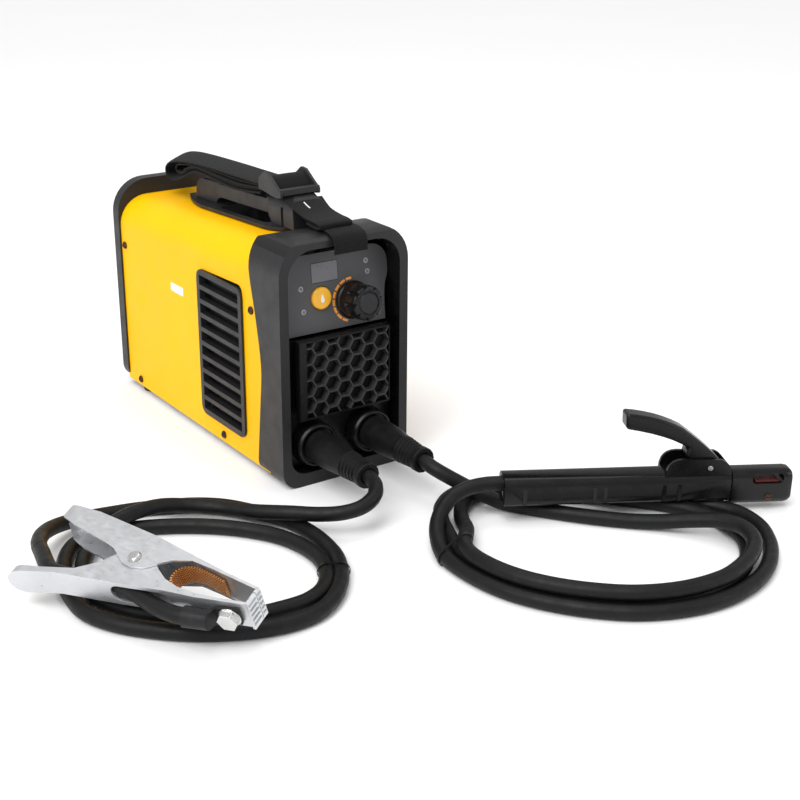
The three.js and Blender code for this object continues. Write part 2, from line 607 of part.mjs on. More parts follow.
// ---------------------------------------------------------------- strap
// Webbing folded flat along the grip: one bundle with a slanting rear fold, the slider buckle and
// the loose tail in front.
function strapBundle() {
  const side = new THREE.Shape();
  side.moveTo(-52, 216.5);
  side.lineTo(0, 212.2);
  side.lineTo(60, 212.6);
  side.quadraticCurveTo(90, 210, 110, 203.5);
  side.lineTo(134, 196.6);
  side.lineTo(160, 196.4);
  side.absarc(160, 202, 5.6, -Math.PI / 2, Math.PI / 2);
  side.quadraticCurveTo(130, 213.5, 90, 218.5);
  side.quadraticCurveTo(30, 223, -52, 225.5);
  const width = STRAP.right - STRAP.left;
  const plan = outline([[STRAP.left, -60], [STRAP.right, -60], [STRAP.right, 149.5], [STRAP.left, 121]]);
  const body = pushed("x", side, STRAP.left, width, 5).intersect(pushed("z", plan, 190, 50));
  return mesh("strap_bundle", body, "webbing");
}

// Closed ribbon outline: a centre line in (y, z) with half the thickness to each side.
function ribbonOutline(points, half) {
  const line = new THREE.CatmullRomCurve3(points.map(([y, z]) => new THREE.Vector3(y, z, 0)));
  const steps = points.length * 3;
  const upper = [];
  const lower = [];
  for (let i = 0; i <= steps; i += 1) {
    const place = line.getPointAt(i / steps);
    const along = line.getTangentAt(i / steps);
    upper.push([place.x - along.y * half, place.y + along.x * half]);
    lower.unshift([place.x + along.y * half, place.y - along.x * half]);
  }
  return outline([...upper, ...lower]);
}

function strapTail() {
  const path = [[-88, 222.5], [-97, 216], [-110, 210.5], [-128, 207.2], [-142, 206],
    [-149.5, 202.5], [-150.6, 195], [-150, 188.5]];
  return mesh("strap_tail", pushed("x", ribbonOutline(path, 1.1), -15, 31), "webbing");
}

// Slider buckle: two curved cheeks, joined by a front bar and a rear bar, over the folded webbing.
function strapBuckle() {
  const cheek = outline([[-52.5, 222], [-53, 231], [-61, 237], [-68, 236.5], [-78, 230],
    [-87, 224.5], [-87, 220.5], [-80, 219.2], [-68, 220.5]]);
  const left = STRAP.left - GAP;
  const right = STRAP.right + GAP;
  const body = pushed("x", cheek, left - 2.4, 2.4)
    .add(pushed("x", cheek, right, 2.4))
    .add(block([left - 2.2, -86.5, 221.6], [right + 2.2, -81, 226.4]))
    .add(block([left - 2.2, -66, 229], [right + 2.2, -62, 232]));
  return mesh("strap_buckle", body, "greyPanel");
}

// ---------------------------------------------------------------- electrode holder
// Holder's own frame: x along the handle from its cable end, z up, origin under the cable end.
function holderHandle() {
  const section = new THREE.Shape();
  section.moveTo(-11, 0);
  section.lineTo(11, 0);
  section.lineTo(12, 1.5);
  section.lineTo(12, 16.5);
  section.quadraticCurveTo(11, 22.5, 0, 22.5);
  section.quadraticCurveTo(-11, 22.5, -12, 16.5);
  section.lineTo(-12, 1.5);
  const hump = new THREE.Shape();
  hump.moveTo(124, 20);
  hump.quadraticCurveTo(124, 34, 137, 34.2);
  hump.lineTo(167, 33);
  hump.quadraticCurveTo(176, 30, HOLDER.length, 20);
  const guard = outline([[148, 2], [149, -1], [HOLDER.length, -1], [HOLDER.length, 2]]);
  let body = pushed("x", section, 0, HOLDER.length, 6)
    .add(pushed("y", hump, -10.5, 21, 6))
    .add(pushed("y", guard, -10.5, 21));
  for (const at of [14, 68, 76, 122, 134]) {
    body = body.add(block([at, -12.6, 0.6], [at + 3, 12.6, 14]));
  }
  body = body
    .subtract(block([118, -7.9, 22.6], [172, 7.9, 60]))
    .subtract(block([146, -7.9, 16.5], [172, 7.9, 60]))
    .subtract(rod("y", [159, -20, 26], 40, 2.5, 2.5, 14))
    .subtract(rod("x", [-1, 0, 14.2], 16, 6.5, 6.5, 18));
  return mesh("holder_handle", body, "blackPlastic");
}

// Curved squeeze lever with a round boss on the pin.
function holderLever() {
  const side = new THREE.Shape();
  side.moveTo(90.5, 71);
  side.quadraticCurveTo(116, 68.5, 135.2, 58.2);
  side.quadraticCurveTo(154, 45, 167.5, 31);
  side.absarc(159, 26, 8.4, 0.4, -Math.PI * 0.75, true);
  side.lineTo(139.5, 35);
  side.lineTo(141, 41.5);
  side.quadraticCurveTo(126, 52, 91, 58.5);
  const body = pushed("y", side, -7.5, 15, 6)
    .subtract(rod("y", [159, -20, 26], 40, 2.5, 2.5, 14));
  return mesh("holder_lever", body, "blackPlastic");
}

function holderPin() {
  return mesh("holder_pivot_pin", rod("y", [159, -10.2, 26], 20.4, 2.2, 2.2, 14), "zincSteel");
}

// Insulated head with a slot that takes the electrode, open at both sides.
function holderHead() {
  const start = HOLDER.length + 1;
  const section = roundedRect(-9.5, -6.5, 9.5, 22, 3);
  const slot = roundedRect(194, 11.5, 219, 19.2, 3);
  const body = pushed("x", section, start, 227 - start, 3)
    .subtract(pushed("y", slot, -20, 40, 4))
    .subtract(rod("y", [208, -20, 0], 13, 3.6, 3.6, 16));
  return mesh("holder_head", body, "blackPlastic");
}

function jawInsert() {
  const body = block([197, -7.5, 11.9], [216, 7.5, 13.4]);
  return mesh("jaw_insert", body, "copper");
}

function headScrew() {
  const head = rod("y", [208, -10.4, 0], 3, 3.2, 3.2, 16).subtract(block([200, -11, -0.5], [216, -9.6, 0.5]));
  return mesh("head_screw", head, "darkSteel");
}

// ---------------------------------------------------------------- earth clamp
// Clamp's own frame: x towards the nose, y from the lower to the upper jaw, z along the rivet.
const LOWER_FOLD = [[-82.7, -38.6], [-48, -28.5], [-4.9, -22.9], [35.9, -16.9], [56.7, -15.2], [93.5, -9.4]];
const UPPER_FOLD = [[-80.3, 27.7], [-48.4, 27.4], [3.4, 21], [68.3, 8.4], [93.5, 4.7]];
const LUG_SLOPE = Math.atan2(-9.4 + 15.2, 93.5 - 56.7);

// A folded channel: plates on both sides of a web that follows the fold line.
function jawChannel(fold, edge, half, towards) {
  const plate = outline([...fold, ...edge.slice().reverse()]);
  const inside = [...fold.map(([u, v]) => [u, v + towards * SHEET]), [130, fold.at(-1)[1] + towards * SHEET],
    [130, towards * 70], [-130, towards * 70], [-130, fold[0][1] + towards * SHEET]];
  return pushed("z", plate, -half, 2 * half)
    .subtract(pushed("z", outline(inside), SHEET - half, 2 * (half - SHEET)));
}

function clampLowerJaw() {
  const edge = [[-80, -31.5], [-60.8, -27.5], [-35.8, -20.5], [-22.4, -10.3], [-15.3, -0.7], [-8, 6],
    [2, 7.5], [12, 4.5], [20.3, -2.3], [29.9, -8.2], [41.8, -11.4], [55.8, -12], [71.4, -10.8], [93.5, -7.4]];
  const half = CLAMP.half - SHEET - GAP;
  const slot = roundedRect(-7, -7.2, 37, 7.2, 7);
  const oval = pushed("z", slot, -60, 120, 6).rotate([90, 0, 0]).intersect(block([-60, -60, -60], [60, -10, 60]));
  const body = jawChannel(LOWER_FOLD, edge, half, 1)
    .add(block([93, -10, -12], [95, -0.2, 12]))
    .subtract(oval)
    .subtract(rod("z", [0, 0, -20], 40, 3.4, 3.4, 16))
    .subtract(rod("z", [0, 0, 0], 34, 4.4, 4.4, 16).rotate([90, 0, 0]).translate([81, 0, 0]));
  return mesh("clamp_lower_jaw", body, "zincSteel");
}

function clampUpperJaw() {
  const edge = [[-79.5, 22], [-73, 16], [-59.8, 11.2], [-45.8, 8.7], [-27.1, 4.4], [-18.8, 1.9], [-5.8, -6.9],
    [2, -8.2], [10.9, -6.2], [18.8, -0.1], [26.2, 5.5], [40.1, 9.8], [56.9, 8], [93.5, 2.6]];
  const body = jawChannel(UPPER_FOLD, edge, CLAMP.half, -1)
    .add(block([93, 0.2, -12], [95, 5, 12]))
    .subtract(rod("z", [0, 0, -20], 40, 3.4, 3.4, 16));
  return mesh("clamp_upper_jaw", body, "zincSteel");
}

function clampRivet() {
  const out = CLAMP.half + GAP;
  const body = turned("z", [0, 0, -out - 1.8], [[0, 0], [3.5, 0.3], [5, 1.8], [3.1, 1.8], [3.1, 2 * out + 1.8],
    [5, 2 * out + 1.8], [3.5, 2 * out + 3.3], [0, 2 * out + 3.6]], 20);
  return mesh("clamp_rivet", body, "zincSteel");
}

// Torsion spring round the rivet with one leg against each jaw's handle.
function clampSpring() {
  const points = [new THREE.Vector3(-24, -9.5, -7.6), new THREE.Vector3(-12, -8, -6.8)];
  const turns = 3.5;
  for (let i = 0; i <= turns * 10; i += 1) {
    const angle = -Math.PI / 2 + i * Math.PI / 5;
    points.push(new THREE.Vector3(6 * Math.cos(angle), 6 * Math.sin(angle), -6 + 12 * i / (turns * 10)));
  }
  points.push(new THREE.Vector3(-12, 12, 6.5), new THREE.Vector3(-26, 20.5, 6.5));
  return mesh("clamp_spring", tube(points, 1, 48, 6), "zincSteel");
}

// Flat copper braid that bows from the lower jaw to the upper one behind the mouth.
function copperBraid() {
  const path = [[68, -10.2], [56, -12], [46, -12.4], [36, -9.5], [30.5, -4], [30.5, 3], [36, 8],
    [46, 9], [56, 7.2], [66, 5.2]];
  return mesh("copper_braid", pushed("z", ribbonOutline(path, 1.1), -7, 14), "copper");
}

// Crimped cable lug with its shrink sleeve: a barrel that flattens to a tongue under the bolt.
function cableLug() {
  const barrel = rod("x", [-30, -7.8, 0], 18, 7.2, 6.8, 18).subtract(rod("x", [-31, -7.8, 0], 9, 6.3, 6.3, 16));
  const neck = outline([[-13, -11.7], [-13, -4], [-8, -0.4], [7, -0.4], [7, -3], [-9, -3]]);
  const body = barrel.add(pushed("z", neck, -6.4, 12.8))
    .subtract(rod("z", [0, 0, 0], 20, 4.4, 4.4, 16).rotate([90, 0, 0]));
  const piece = mesh("cable_lug", body, "rubber");
  piece.position.set(81, -11.4, 0);
  piece.rotation.z = LUG_SLOPE;
  return piece;
}

function clampBolt() {
  const hex = new THREE.Shape();
  for (let i = 0; i < 6; i += 1) {
    hex.lineTo(7.4 * Math.cos(i * Math.PI / 3), 7.4 * Math.sin(i * Math.PI / 3));
  }
  const head = new THREE.Shape(hex.getPoints().slice(1));
  const body = pushed("z", head, -8.6, 5)
    .add(rod("z", [0, 0, -3.7], 0.5, 7.8, 7.8, 20))
    .add(rod("z", [0, 0, -4], 11.5, 4, 4, 16))
    .rotate([-90, 0, 0]);
  const piece = mesh("clamp_bolt", body, "zincSteel");
  piece.position.set(81, -11.4, 0);
  piece.rotation.z = LUG_SLOPE;
  return piece;
}

// ---------------------------------------------------------------- cables
function tube(points, radius, steps, sides) {
  const path = new THREE.CatmullRomCurve3(points);
  const section = new THREE.Shape();
  section.absarc(0, 0, radius, 0, 2 * Math.PI);
  const geometry = new THREE.ExtrudeGeometry(section, {
    steps, bevelEnabled: false, extrudePath: path, curveSegments: sides / 2,
  });
  return solid(geometry);
}

function vectors(route) {
  return route.map(([x, y, z]) => new THREE.Vector3(x, y, z));
}

function earthCable(clamp) {
  clamp.updateMatrix();
  const last = vectors(CLAMP_ROUTE).map((point) => point.applyMatrix4(clamp.matrix));
  return mesh("earth_cable", tube([...vectors(EARTH_ROUTE), ...last], CABLE / 2, 120, 8), "rubber");
}

function electrodeCable() {
  return mesh("electrode_cable", tube(vectors(ELECTRODE_ROUTE), CABLE / 2, 150, 8), "rubber");
}

// ---------------------------------------------------------------- assembly
const DEGREE = Math.PI / 180;

function buildHolder() {
  const holder = new THREE.Group();
  holder.add(holderHandle(), holderLever(), holderPin(), holderHead(), jawInsert(), headScrew());
  holder.position.set(...HOLDER.at);
  holder.rotation.set(0, HOLDER.dip * DEGREE, HOLDER.turn * DEGREE, "ZYX");
  return holder;
}

function buildClamp() {
  const clamp = new THREE.Group();
  clamp.add(clampLowerJaw(), clampUpperJaw(), clampRivet(), clampSpring(), copperBraid(), cableLug(),
    clampBolt());
  clamp.position.set(...CLAMP.at);
  clamp.rotation.set(CLAMP.roll * DEGREE, 0, CLAMP.turn * DEGREE, "ZYX");
  return clamp;
}

function buildMachine() {
  const machine = new THREE.Group();
  machine.add(coverShell(), basePan(), frontBezel(), rearBezel());
  machine.add(rearFoot("rear_foot_left", -45), rearFoot("rear_foot_right", 45));
  machine.add(ventInsert("vent_left", -1), ventInsert("vent_right", 1));
  SCREW_SPOTS.forEach(([y, z], i) => {
    machine.add(sideScrew(`screw_left_${i + 1}`, -1, y, z), sideScrew(`screw_right_${i + 1}`, 1, y, z));
  });
  const panel = panelGroup();
  panel.add(controlPanel(), displayWindow(), modeButton(), currentKnob(), potentiometer(), controlBoard());
  machine.add(panel, lowerFascia(), hexGrille());
  for (const [side, x] of [["left", -SOCKET.x], ["right", SOCKET.x]]) {
    machine.add(socket(`socket_${side}`, x), plugPin(`plug_pin_${side}`, x), plugBoot(`plug_boot_${side}`, x));
  }
  machine.add(rearPanel(), fanFrame(), fanRotor(), powerSwitch(), powerRocker(), cableGland());
  machine.add(mainBoard(), heatsink(), transformer(), capacitor());
  const handle = handleGroup();
  handle.add(handleTray(), handleGrip());
  machine.add(handle, strapBundle(), strapTail(), strapBuckle());
  return machine;
}

const part = new THREE.Group();
const clampGroup = buildClamp();
part.add(buildMachine(), buildHolder(), clampGroup, earthCable(clampGroup), electrodeCable());
part.children.forEach((piece) => {
  piece.position.add(new THREE.Vector3(...OFFSET));
});
export default part;
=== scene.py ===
"""Stick welder: a yellow inverter welding machine with a folded shoulder strap on its handle, an
electrode holder and an earth clamp on their cables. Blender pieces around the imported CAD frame.
Metres, +Z up, the control panel faces -Y."""

import json
import math

import bmesh
import bpy
from mathutils import Matrix, Vector


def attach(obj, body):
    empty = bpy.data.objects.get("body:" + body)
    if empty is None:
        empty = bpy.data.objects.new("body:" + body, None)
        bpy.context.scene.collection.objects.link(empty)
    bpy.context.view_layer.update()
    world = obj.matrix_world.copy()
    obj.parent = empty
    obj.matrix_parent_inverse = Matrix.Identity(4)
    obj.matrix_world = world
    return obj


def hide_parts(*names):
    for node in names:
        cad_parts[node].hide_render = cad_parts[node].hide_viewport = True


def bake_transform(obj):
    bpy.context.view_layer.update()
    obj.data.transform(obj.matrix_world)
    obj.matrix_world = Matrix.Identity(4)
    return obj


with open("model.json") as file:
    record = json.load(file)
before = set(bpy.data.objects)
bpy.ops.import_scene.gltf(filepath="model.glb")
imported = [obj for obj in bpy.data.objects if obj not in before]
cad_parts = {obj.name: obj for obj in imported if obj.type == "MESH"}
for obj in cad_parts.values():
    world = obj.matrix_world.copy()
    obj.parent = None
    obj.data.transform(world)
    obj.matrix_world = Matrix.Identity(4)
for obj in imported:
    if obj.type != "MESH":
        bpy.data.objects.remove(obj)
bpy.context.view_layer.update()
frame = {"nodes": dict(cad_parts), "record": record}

NODES = frame["nodes"]
BODIES = frame["record"]["behaviour"]["bodies"]
SCENE = bpy.context.scene

# ---------------------------------------------------------------- places and sizes
MM = 0.001
OFFSET = Vector((24.8, 122.2, 0.0)) * MM      # the machine's own centre in the row frame
CABLE_RADIUS = 5.75 * MM
PANEL_LEAN = math.atan2(7.5, 63.5)
MACHINE = Matrix.Translation(OFFSET)


def placed(place, *turns):
    """The frame at a place in the machine's own frame, in millimetres, after turns about its axes."""
    made = MACHINE @ Matrix.Translation(Vector(place) * MM)
    for angle, axis in turns:
        made = made @ Matrix.Rotation(angle, 4, axis)
    return made


def side_plane(x, facing=1):
    """A frame in the plane of the machine's side at x: x runs back, y up, z right (left for -1)."""
    return MACHINE @ Matrix(((0, 0, facing, x * MM), (1, 0, 0, 0), (0, 1, 0, 0), (0, 0, 0, 1)))


PANEL = placed((0, -134, 121), (math.pi / 2 - PANEL_LEAN, "X"))
HOLDER = placed((53, -280, 16), (math.radians(-27.8), "Z"), (math.radians(1.1), "Y"))
CLAMP = placed((-236, -260, 35.6), (math.radians(-64), "Z"), (math.radians(21), "X"))
KNOB = {"x": 15.5, "up": 22.5, "length": 24}      # on the panel, from the middle of its lower edge
BUTTON = {"x": -13, "up": 28.3}

# Cable routes from plug to tool, in millimetres from the machine's own centre.
FLOOR = 5.9      # the height of a cable's middle where it lies on the floor
EARTH_ROUTE = [
    (-26, -211, 32), (-26, -217.5, 31.9), (-28, -229, 30), (-36, -239, 26.8), (-49, -243, 23.4),
    (-63, -238.5, 20.6), (-77, -227, 18.5), (-93, -211, 17.6), (-110, -189, 14.5), (-126, -162, 11),
    (-145, -148, 12.5), (-164, -144, 16), (-185, -146, 17.8), (-206, -150, 16), (-222, -156, 11.5),
    (-234, -166, 7), (-244, -180, FLOOR), (-252, -202, FLOOR), (-255, -228, FLOOR),
    (-245, -254, FLOOR), (-227, -277, FLOOR), (-204, -296, FLOOR), (-180, -308, FLOOR),
    (-159, -312, FLOOR), (-139, -312, FLOOR), (-122, -304, FLOOR), (-109, -288, FLOOR),
    (-101, -266, FLOOR), (-101, -242, FLOOR), (-107, -220, FLOOR), (-119, -200, FLOOR),
    (-134, -183, FLOOR), (-152, -168, FLOOR), (-170, -157, FLOOR), (-187, -149, FLOOR),
    (-206, -143, FLOOR), (-223, -142, FLOOR), (-239, -150, FLOOR), (-252, -167, FLOOR),
    (-264, -194, FLOOR), (-269, -220, FLOOR), (-269, -243, FLOOR), (-260, -265, FLOOR),
    (-244, -286, FLOOR), (-225, -304, FLOOR), (-207, -316, FLOOR), (-188, -325, FLOOR),
    (-165, -331, FLOOR), (-144, -330, FLOOR), (-123, -319, FLOOR), (-104, -299, FLOOR),
    (-90, -272, FLOOR), (-85, -247, FLOOR), (-85, -222, FLOOR), (-90, -198, FLOOR),
    (-102, -174, FLOOR), (-116, -152, FLOOR), (-134, -137, FLOOR), (-153, -128, FLOOR),
    (-174, -120, FLOOR), (-196, -116, 6.5), (-218, -117, 9), (-238, -125, 13), (-255, -140, 18),
    (-267, -160, 22), (-273, -182, 24.5),
]
# The last stretch, along the clamp's lower arm in the clamp's own frame.
CLAMP_ROUTE = [
    (-62, -19, -2), (-50, -20.6, -0.5), (-36, -19.2, 0), (-22, -17.4, 0), (-8, -15.6, 0),
    (5, -17, 0), (16, -20, 0), (27, -22.8, 0), (37, -24.4, 0), (46, -24.6, 0), (53, -23.75, 0),
    (58.6, -22.8, 0),
]
ELECTRODE_ROUTE = [
    (26, -211, 32), (26, -217, 31.9), (27.5, -227, 29.5), (34, -236.5, 24.5), (44, -245.5, 17.5),
    (54, -257, 11), (63, -269, 7), (73, -283, FLOOR), (86, -301, FLOOR), (104, -324, FLOOR),
    (124, -346, FLOOR), (141, -364, 8), (155, -382, 12.5), (165, -400, 16.5), (168, -418, 17.8),
    (161, -435, 17), (146, -447, 16.2), (128, -455, 16.2), (104, -460.5, 16.2), (70, -457, 16.2),
    (40, -444, 16.2), (18, -426, 16.2), (-1, -403, 16.2), (-13, -380, 16.2), (-19, -355, 16.2),
    (-18, -331, 16), (-8, -314, 14.5), (3, -302, 11), (13, -289, 7.5), (21, -273, FLOOR),
    (32, -258, FLOOR), (48, -247.5, FLOOR), (67, -246, FLOOR), (86, -254, FLOOR),
    (104, -270, FLOOR), (126, -292, FLOOR), (148, -318, FLOOR), (167, -342, FLOOR),
    (178, -364, FLOOR), (181, -388, FLOOR), (175, -411, FLOOR), (160, -431, FLOOR),
    (132, -450, FLOOR), (98, -457, FLOOR), (68, -452, FLOOR), (42, -439, FLOOR), (22, -421, FLOOR),
    (5, -399, FLOOR), (-7, -377, FLOOR), (-13, -355, FLOOR), (-14, -330, FLOOR), (-10, -307, FLOOR),
    (-1, -285, FLOOR), (8, -265, FLOOR), (20, -248, FLOOR), (37, -236.5, FLOOR),
    (56, -232.5, FLOOR), (76, -235, FLOOR), (95, -245, FLOOR), (114, -262, FLOOR),
    (137, -285, FLOOR), (160, -311, FLOOR), (180, -338, FLOOR), (194.5, -361, FLOOR),
    (203, -382, FLOOR), (200, -405, FLOOR), (187, -427, FLOOR), (165, -448, FLOOR),
    (135, -463.5, FLOOR), (98, -469.5, FLOOR), (65, -464, FLOOR), (35, -450, FLOOR),
    (13, -431, FLOOR), (-6, -407, FLOOR), (-19, -382, FLOOR), (-25.5, -356, FLOOR),
    (-27, -330, FLOOR), (-25, -311, 6.5), (-18, -295, 9.5), (-9, -282, 14.5), (3, -273, 20),
    (16, -268.6, 25), (29.5, -269.9, 28.6), (41.8, -274.1, 30), (47.7, -277.2, 30.2),
    (53, -280, 30.2), (64, -285.8, 30),
]


# ---------------------------------------------------------------- camera
CAMERA_PLACE = (-576.3, -1038.7, 489.0)      # from the machine's own centre
CAMERA_HEADING, CAMERA_DIP, CAMERA_ROLL = -35.162, 21.728, 0.42      # in degrees
LENS, SENSOR_WIDTH = 64.37, 36.0


def make_camera():
    data = bpy.data.cameras.new("camera")
    data.lens = LENS
    data.sensor_width = SENSOR_WIDTH
    camera = bpy.data.objects.new("camera", data)
    SCENE.collection.objects.link(camera)
    turn = (Matrix.Rotation(math.radians(CAMERA_HEADING), 4, "Z")
            @ Matrix.Rotation(math.radians(90 - CAMERA_DIP), 4, "X")
            @ Matrix.Rotation(math.radians(CAMERA_ROLL), 4, "Z"))
    camera.matrix_world = Matrix.Translation(Vector(CAMERA_PLACE) * MM + OFFSET) @ turn
    SCENE.camera = camera


# ---------------------------------------------------------------- node helpers for materials
NOISE_ROUGHNESS = 0.55
RIB_PITCH, WEFT_PITCH, WIRE_PITCH = 0.0017, 0.0021, 0.0021      # of the webbing and the braid, in metres


class Shader:
    """A Principled material with short calls for the nodes that the materials below share."""

    def __init__(self, name, colour, roughness, metallic=0.0):
        self.material = bpy.data.materials.new(name)
        self.material.use_nodes = True
        self.tree = self.material.node_tree
        self.bsdf = self.tree.nodes["Principled BSDF"]
        self.bsdf.inputs["Base Color"].default_value = (*colour, 1)
        self.bsdf.inputs["Roughness"].default_value = roughness
        self.bsdf.inputs["Metallic"].default_value = metallic
        self.material.diffuse_color = (*colour, 1)
        self.coordinates = self.tree.nodes.new("ShaderNodeTexCoord")
        self.last_normal = None

    def node(self, kind, **values):
        made = self.tree.nodes.new("ShaderNode" + kind)
        for key, value in values.items():
            if key in made.inputs:
                made.inputs[key].default_value = value
            else:
                setattr(made, key, value)
        return made

    def link(self, output, target):
        self.tree.links.new(output, target)

    def vector(self, stretch=(1, 1, 1)):
        mapping = self.node("Mapping")
        mapping.inputs["Scale"].default_value = stretch
        self.link(self.coordinates.outputs["Object"], mapping.inputs["Vector"])
        return mapping.outputs["Vector"]

    def strip(self):
        """A strip's own coordinates in metres: across it and along it."""
        split = self.node("SeparateXYZ")
        self.link(self.coordinates.outputs["UV"], split.inputs["Vector"])
        return split.outputs["X"], split.outputs["Y"]

    def wave(self, distance, pitch):
        return self.math("SINE", self.math("MULTIPLY", distance, 2 * math.pi / pitch))

    def noise(self, size, detail=3.0, stretch=(1, 1, 1)):
        """Noise whose features are about size metres across."""
        noise = self.node("TexNoise", Scale=1 / size, Detail=detail, Roughness=NOISE_ROUGHNESS)
        self.link(self.vector(stretch), noise.inputs["Vector"])
        return noise.outputs["Fac"]

    def ranged(self, value, low, high, start=0.3, end=0.7):
        """The value's range from start to end, stretched to run from low to high."""
        ranged = self.node("MapRange")
        for key, number in (("From Min", start), ("From Max", end), ("To Min", low), ("To Max", high)):
            ranged.inputs[key].default_value = number
        self.link(value, ranged.inputs["Value"])
        return ranged.outputs["Result"]

    def mix_colour(self, factor, first, second):
        mix = self.node("Mix", data_type="RGBA")
        self.link(factor, mix.inputs["Factor"])
        for socket, colour in (("A", first), ("B", second)):
            target = [s for s in mix.inputs if s.name == socket and s.type == "RGBA"][0]
            if isinstance(colour, bpy.types.NodeSocket):
                self.link(colour, target)
            else:
                target.default_value = (*colour, 1)
        return [s for s in mix.outputs if s.type == "RGBA"][0]

    def math(self, operation, first, second=None):
        made = self.node("Math", operation=operation)
        for index, value in enumerate((first, second)):
            if isinstance(value, bpy.types.NodeSocket):
                self.link(value, made.inputs[index])
            elif value is not None:
                made.inputs[index].default_value = value
        return made.outputs["Value"]

    def colour(self, output):
        self.link(output, self.bsdf.inputs["Base Color"])

    def rough(self, output):
        self.link(output, self.bsdf.inputs["Roughness"])

    def bump(self, height, strength, distance):
        """Adds a bump on top of those already there."""
        bump = self.node("Bump", Strength=strength, Distance=distance)
        self.link(height, bump.inputs["Height"])
        if self.last_normal is not None:
            self.link(self.last_normal, bump.inputs["Normal"])
        self.last_normal = bump.outputs["Normal"]
        self.link(self.last_normal, self.bsdf.inputs["Normal"])

    def set(self, **values):
        for key, value in values.items():
            self.bsdf.inputs[key.replace("_", " ")].default_value = value


def shade(colour, factor):
    return tuple(min(1.0, value * factor) for value in colour)


def yellow_paint():
    """Powder coat: orange peel, a slight drift of tone and a low sheen."""
    base = (0.97, 0.50, 0.0)
    m = Shader("yellow_powder_coat", base, 0.45)
    m.colour(m.mix_colour(m.noise(0.09, 2.0), (0.95, 0.46, 0.0), (1.0, 0.54, 0.0)))
    m.rough(m.ranged(m.noise(0.03, 4.0), 0.4, 0.54))
    m.bump(m.noise(0.0022, 2.0), 0.10, 0.0004)
    m.bump(m.noise(0.0006, 2.0), 0.06, 0.0002)
    m.set(Specular_IOR_Level=0.14)
    return m.material


def moulded_plastic(name, base, grain=0.0005, rough=(0.42, 0.6), strength=0.25, shine=0.3):
    """Textured moulding: fine spark-eroded grain with a soft change of gloss and tone."""
    m = Shader(name, base, rough[0])
    m.colour(m.mix_colour(m.noise(0.02, 5.0), shade(base, 0.82), shade(base, 1.2)))
    m.rough(m.ranged(m.noise(0.012, 4.0), *rough))
    m.bump(m.noise(grain, 2.0), strength, 0.0003)
    m.bump(m.noise(0.008, 2.0), 0.05, 0.0006)
    m.set(Specular_IOR_Level=shine)
    return m.material


def printed_film(base):
    """Control panel film: matt grey with a very fine velvet grain."""
    m = Shader("panel_film", base, 0.5)
    m.colour(m.mix_colour(m.noise(0.05, 3.0), shade(base, 0.95), shade(base, 1.05)))
    m.rough(m.ranged(m.noise(0.01, 3.0), 0.42, 0.56))
    m.bump(m.noise(0.00035, 2.0), 0.18, 0.0002)
    m.set(Specular_IOR_Level=0.3)
    return m.material


def rubber(name, base, grain=0.0004, gloss=(0.42, 0.62)):
    """Cable sheath and boots: dull black with a fine skin, faint dents and dust."""
    m = Shader(name, base, 0.5)
    dust = m.ranged(m.noise(0.011, 6.0), 0.0, 1.0, 0.52, 0.72)
    m.colour(m.mix_colour(dust, base, shade(base, 1.7)))
    m.rough(m.ranged(m.noise(0.006, 4.0), *gloss))
    m.bump(m.noise(grain, 3.0), 0.22, 0.0003)
    m.bump(m.noise(0.004, 2.0), 0.12, 0.0006)
    m.set(Specular_IOR_Level=0.24)
    return m.material


def webbing(name, base):
    """Flat woven strap: warp ribs along it, weft lines across it, and fuzz. Its colour carries painted
    shade in the weave's hollows and a painted highlight on its crowns.
    """
    m = Shader(name, base, 0.9)
    across, along = m.strip()
    ribs, weft = m.wave(across, RIB_PITCH), m.wave(along, WEFT_PITCH)
    weave = m.math("MULTIPLY", ribs, weft)
    height = m.math("ADD", m.math("MULTIPLY", ribs, 0.6), m.math("MULTIPLY", weave, 0.5))
    # painted shade and highlight: the colour follows the weave's height, dark in its hollows and light on
    # its crowns
    painted_weave_shade_and_highlight = m.ranged(height, 0.0, 1.0, -1.1, 1.1)
    fuzz = m.ranged(m.noise(0.0012, 4.0), 0.75, 1.25)
    tone = m.mix_colour(painted_weave_shade_and_highlight, shade(base, 0.45), shade(base, 1.9))
    m.colour(m.mix_colour(m.math("MULTIPLY", fuzz, 0.35), tone, shade(base, 1.3)))
    m.bump(height, 0.55, 0.0005)
    m.bump(m.noise(0.0007, 3.0), 0.3, 0.0004)
    m.set(Sheen_Weight=0.06, Sheen_Roughness=0.5, Specular_IOR_Level=0.15)
    return m.material


def zinc_plate():
    """Bright zinc plated sheet: pale, softly mottled, with fine brushing and a few dark nicks."""
    base = (0.66, 0.67, 0.69)
    m = Shader("zinc_plate", base, 0.34, 0.85)
    cloud = m.mix_colour(m.noise(0.02, 5.0), shade(base, 0.86), shade(base, 1.08))
    nicks = m.ranged(m.noise(0.0035, 6.0), 0.0, 1.0, 0.68, 0.76)
    m.colour(m.mix_colour(nicks, cloud, (0.30, 0.30, 0.31)))
    m.rough(m.ranged(m.noise(0.006, 5.0, (1, 1, 6)), 0.26, 0.46))
    m.bump(m.noise(0.0016, 4.0, (1, 1, 5)), 0.08, 0.0003)
    return m.material


def bright_metal(name, base, rough=(0.18, 0.34)):
    """Turned or plated metal with fine tool marks."""
    m = Shader(name, base, rough[0], 1.0)
    m.colour(m.mix_colour(m.noise(0.006, 4.0), shade(base, 0.8), shade(base, 1.08)))
    m.rough(m.ranged(m.noise(0.0015, 4.0), *rough))
    m.bump(m.noise(0.0007, 3.0), 0.10, 0.0002)
    return m.material


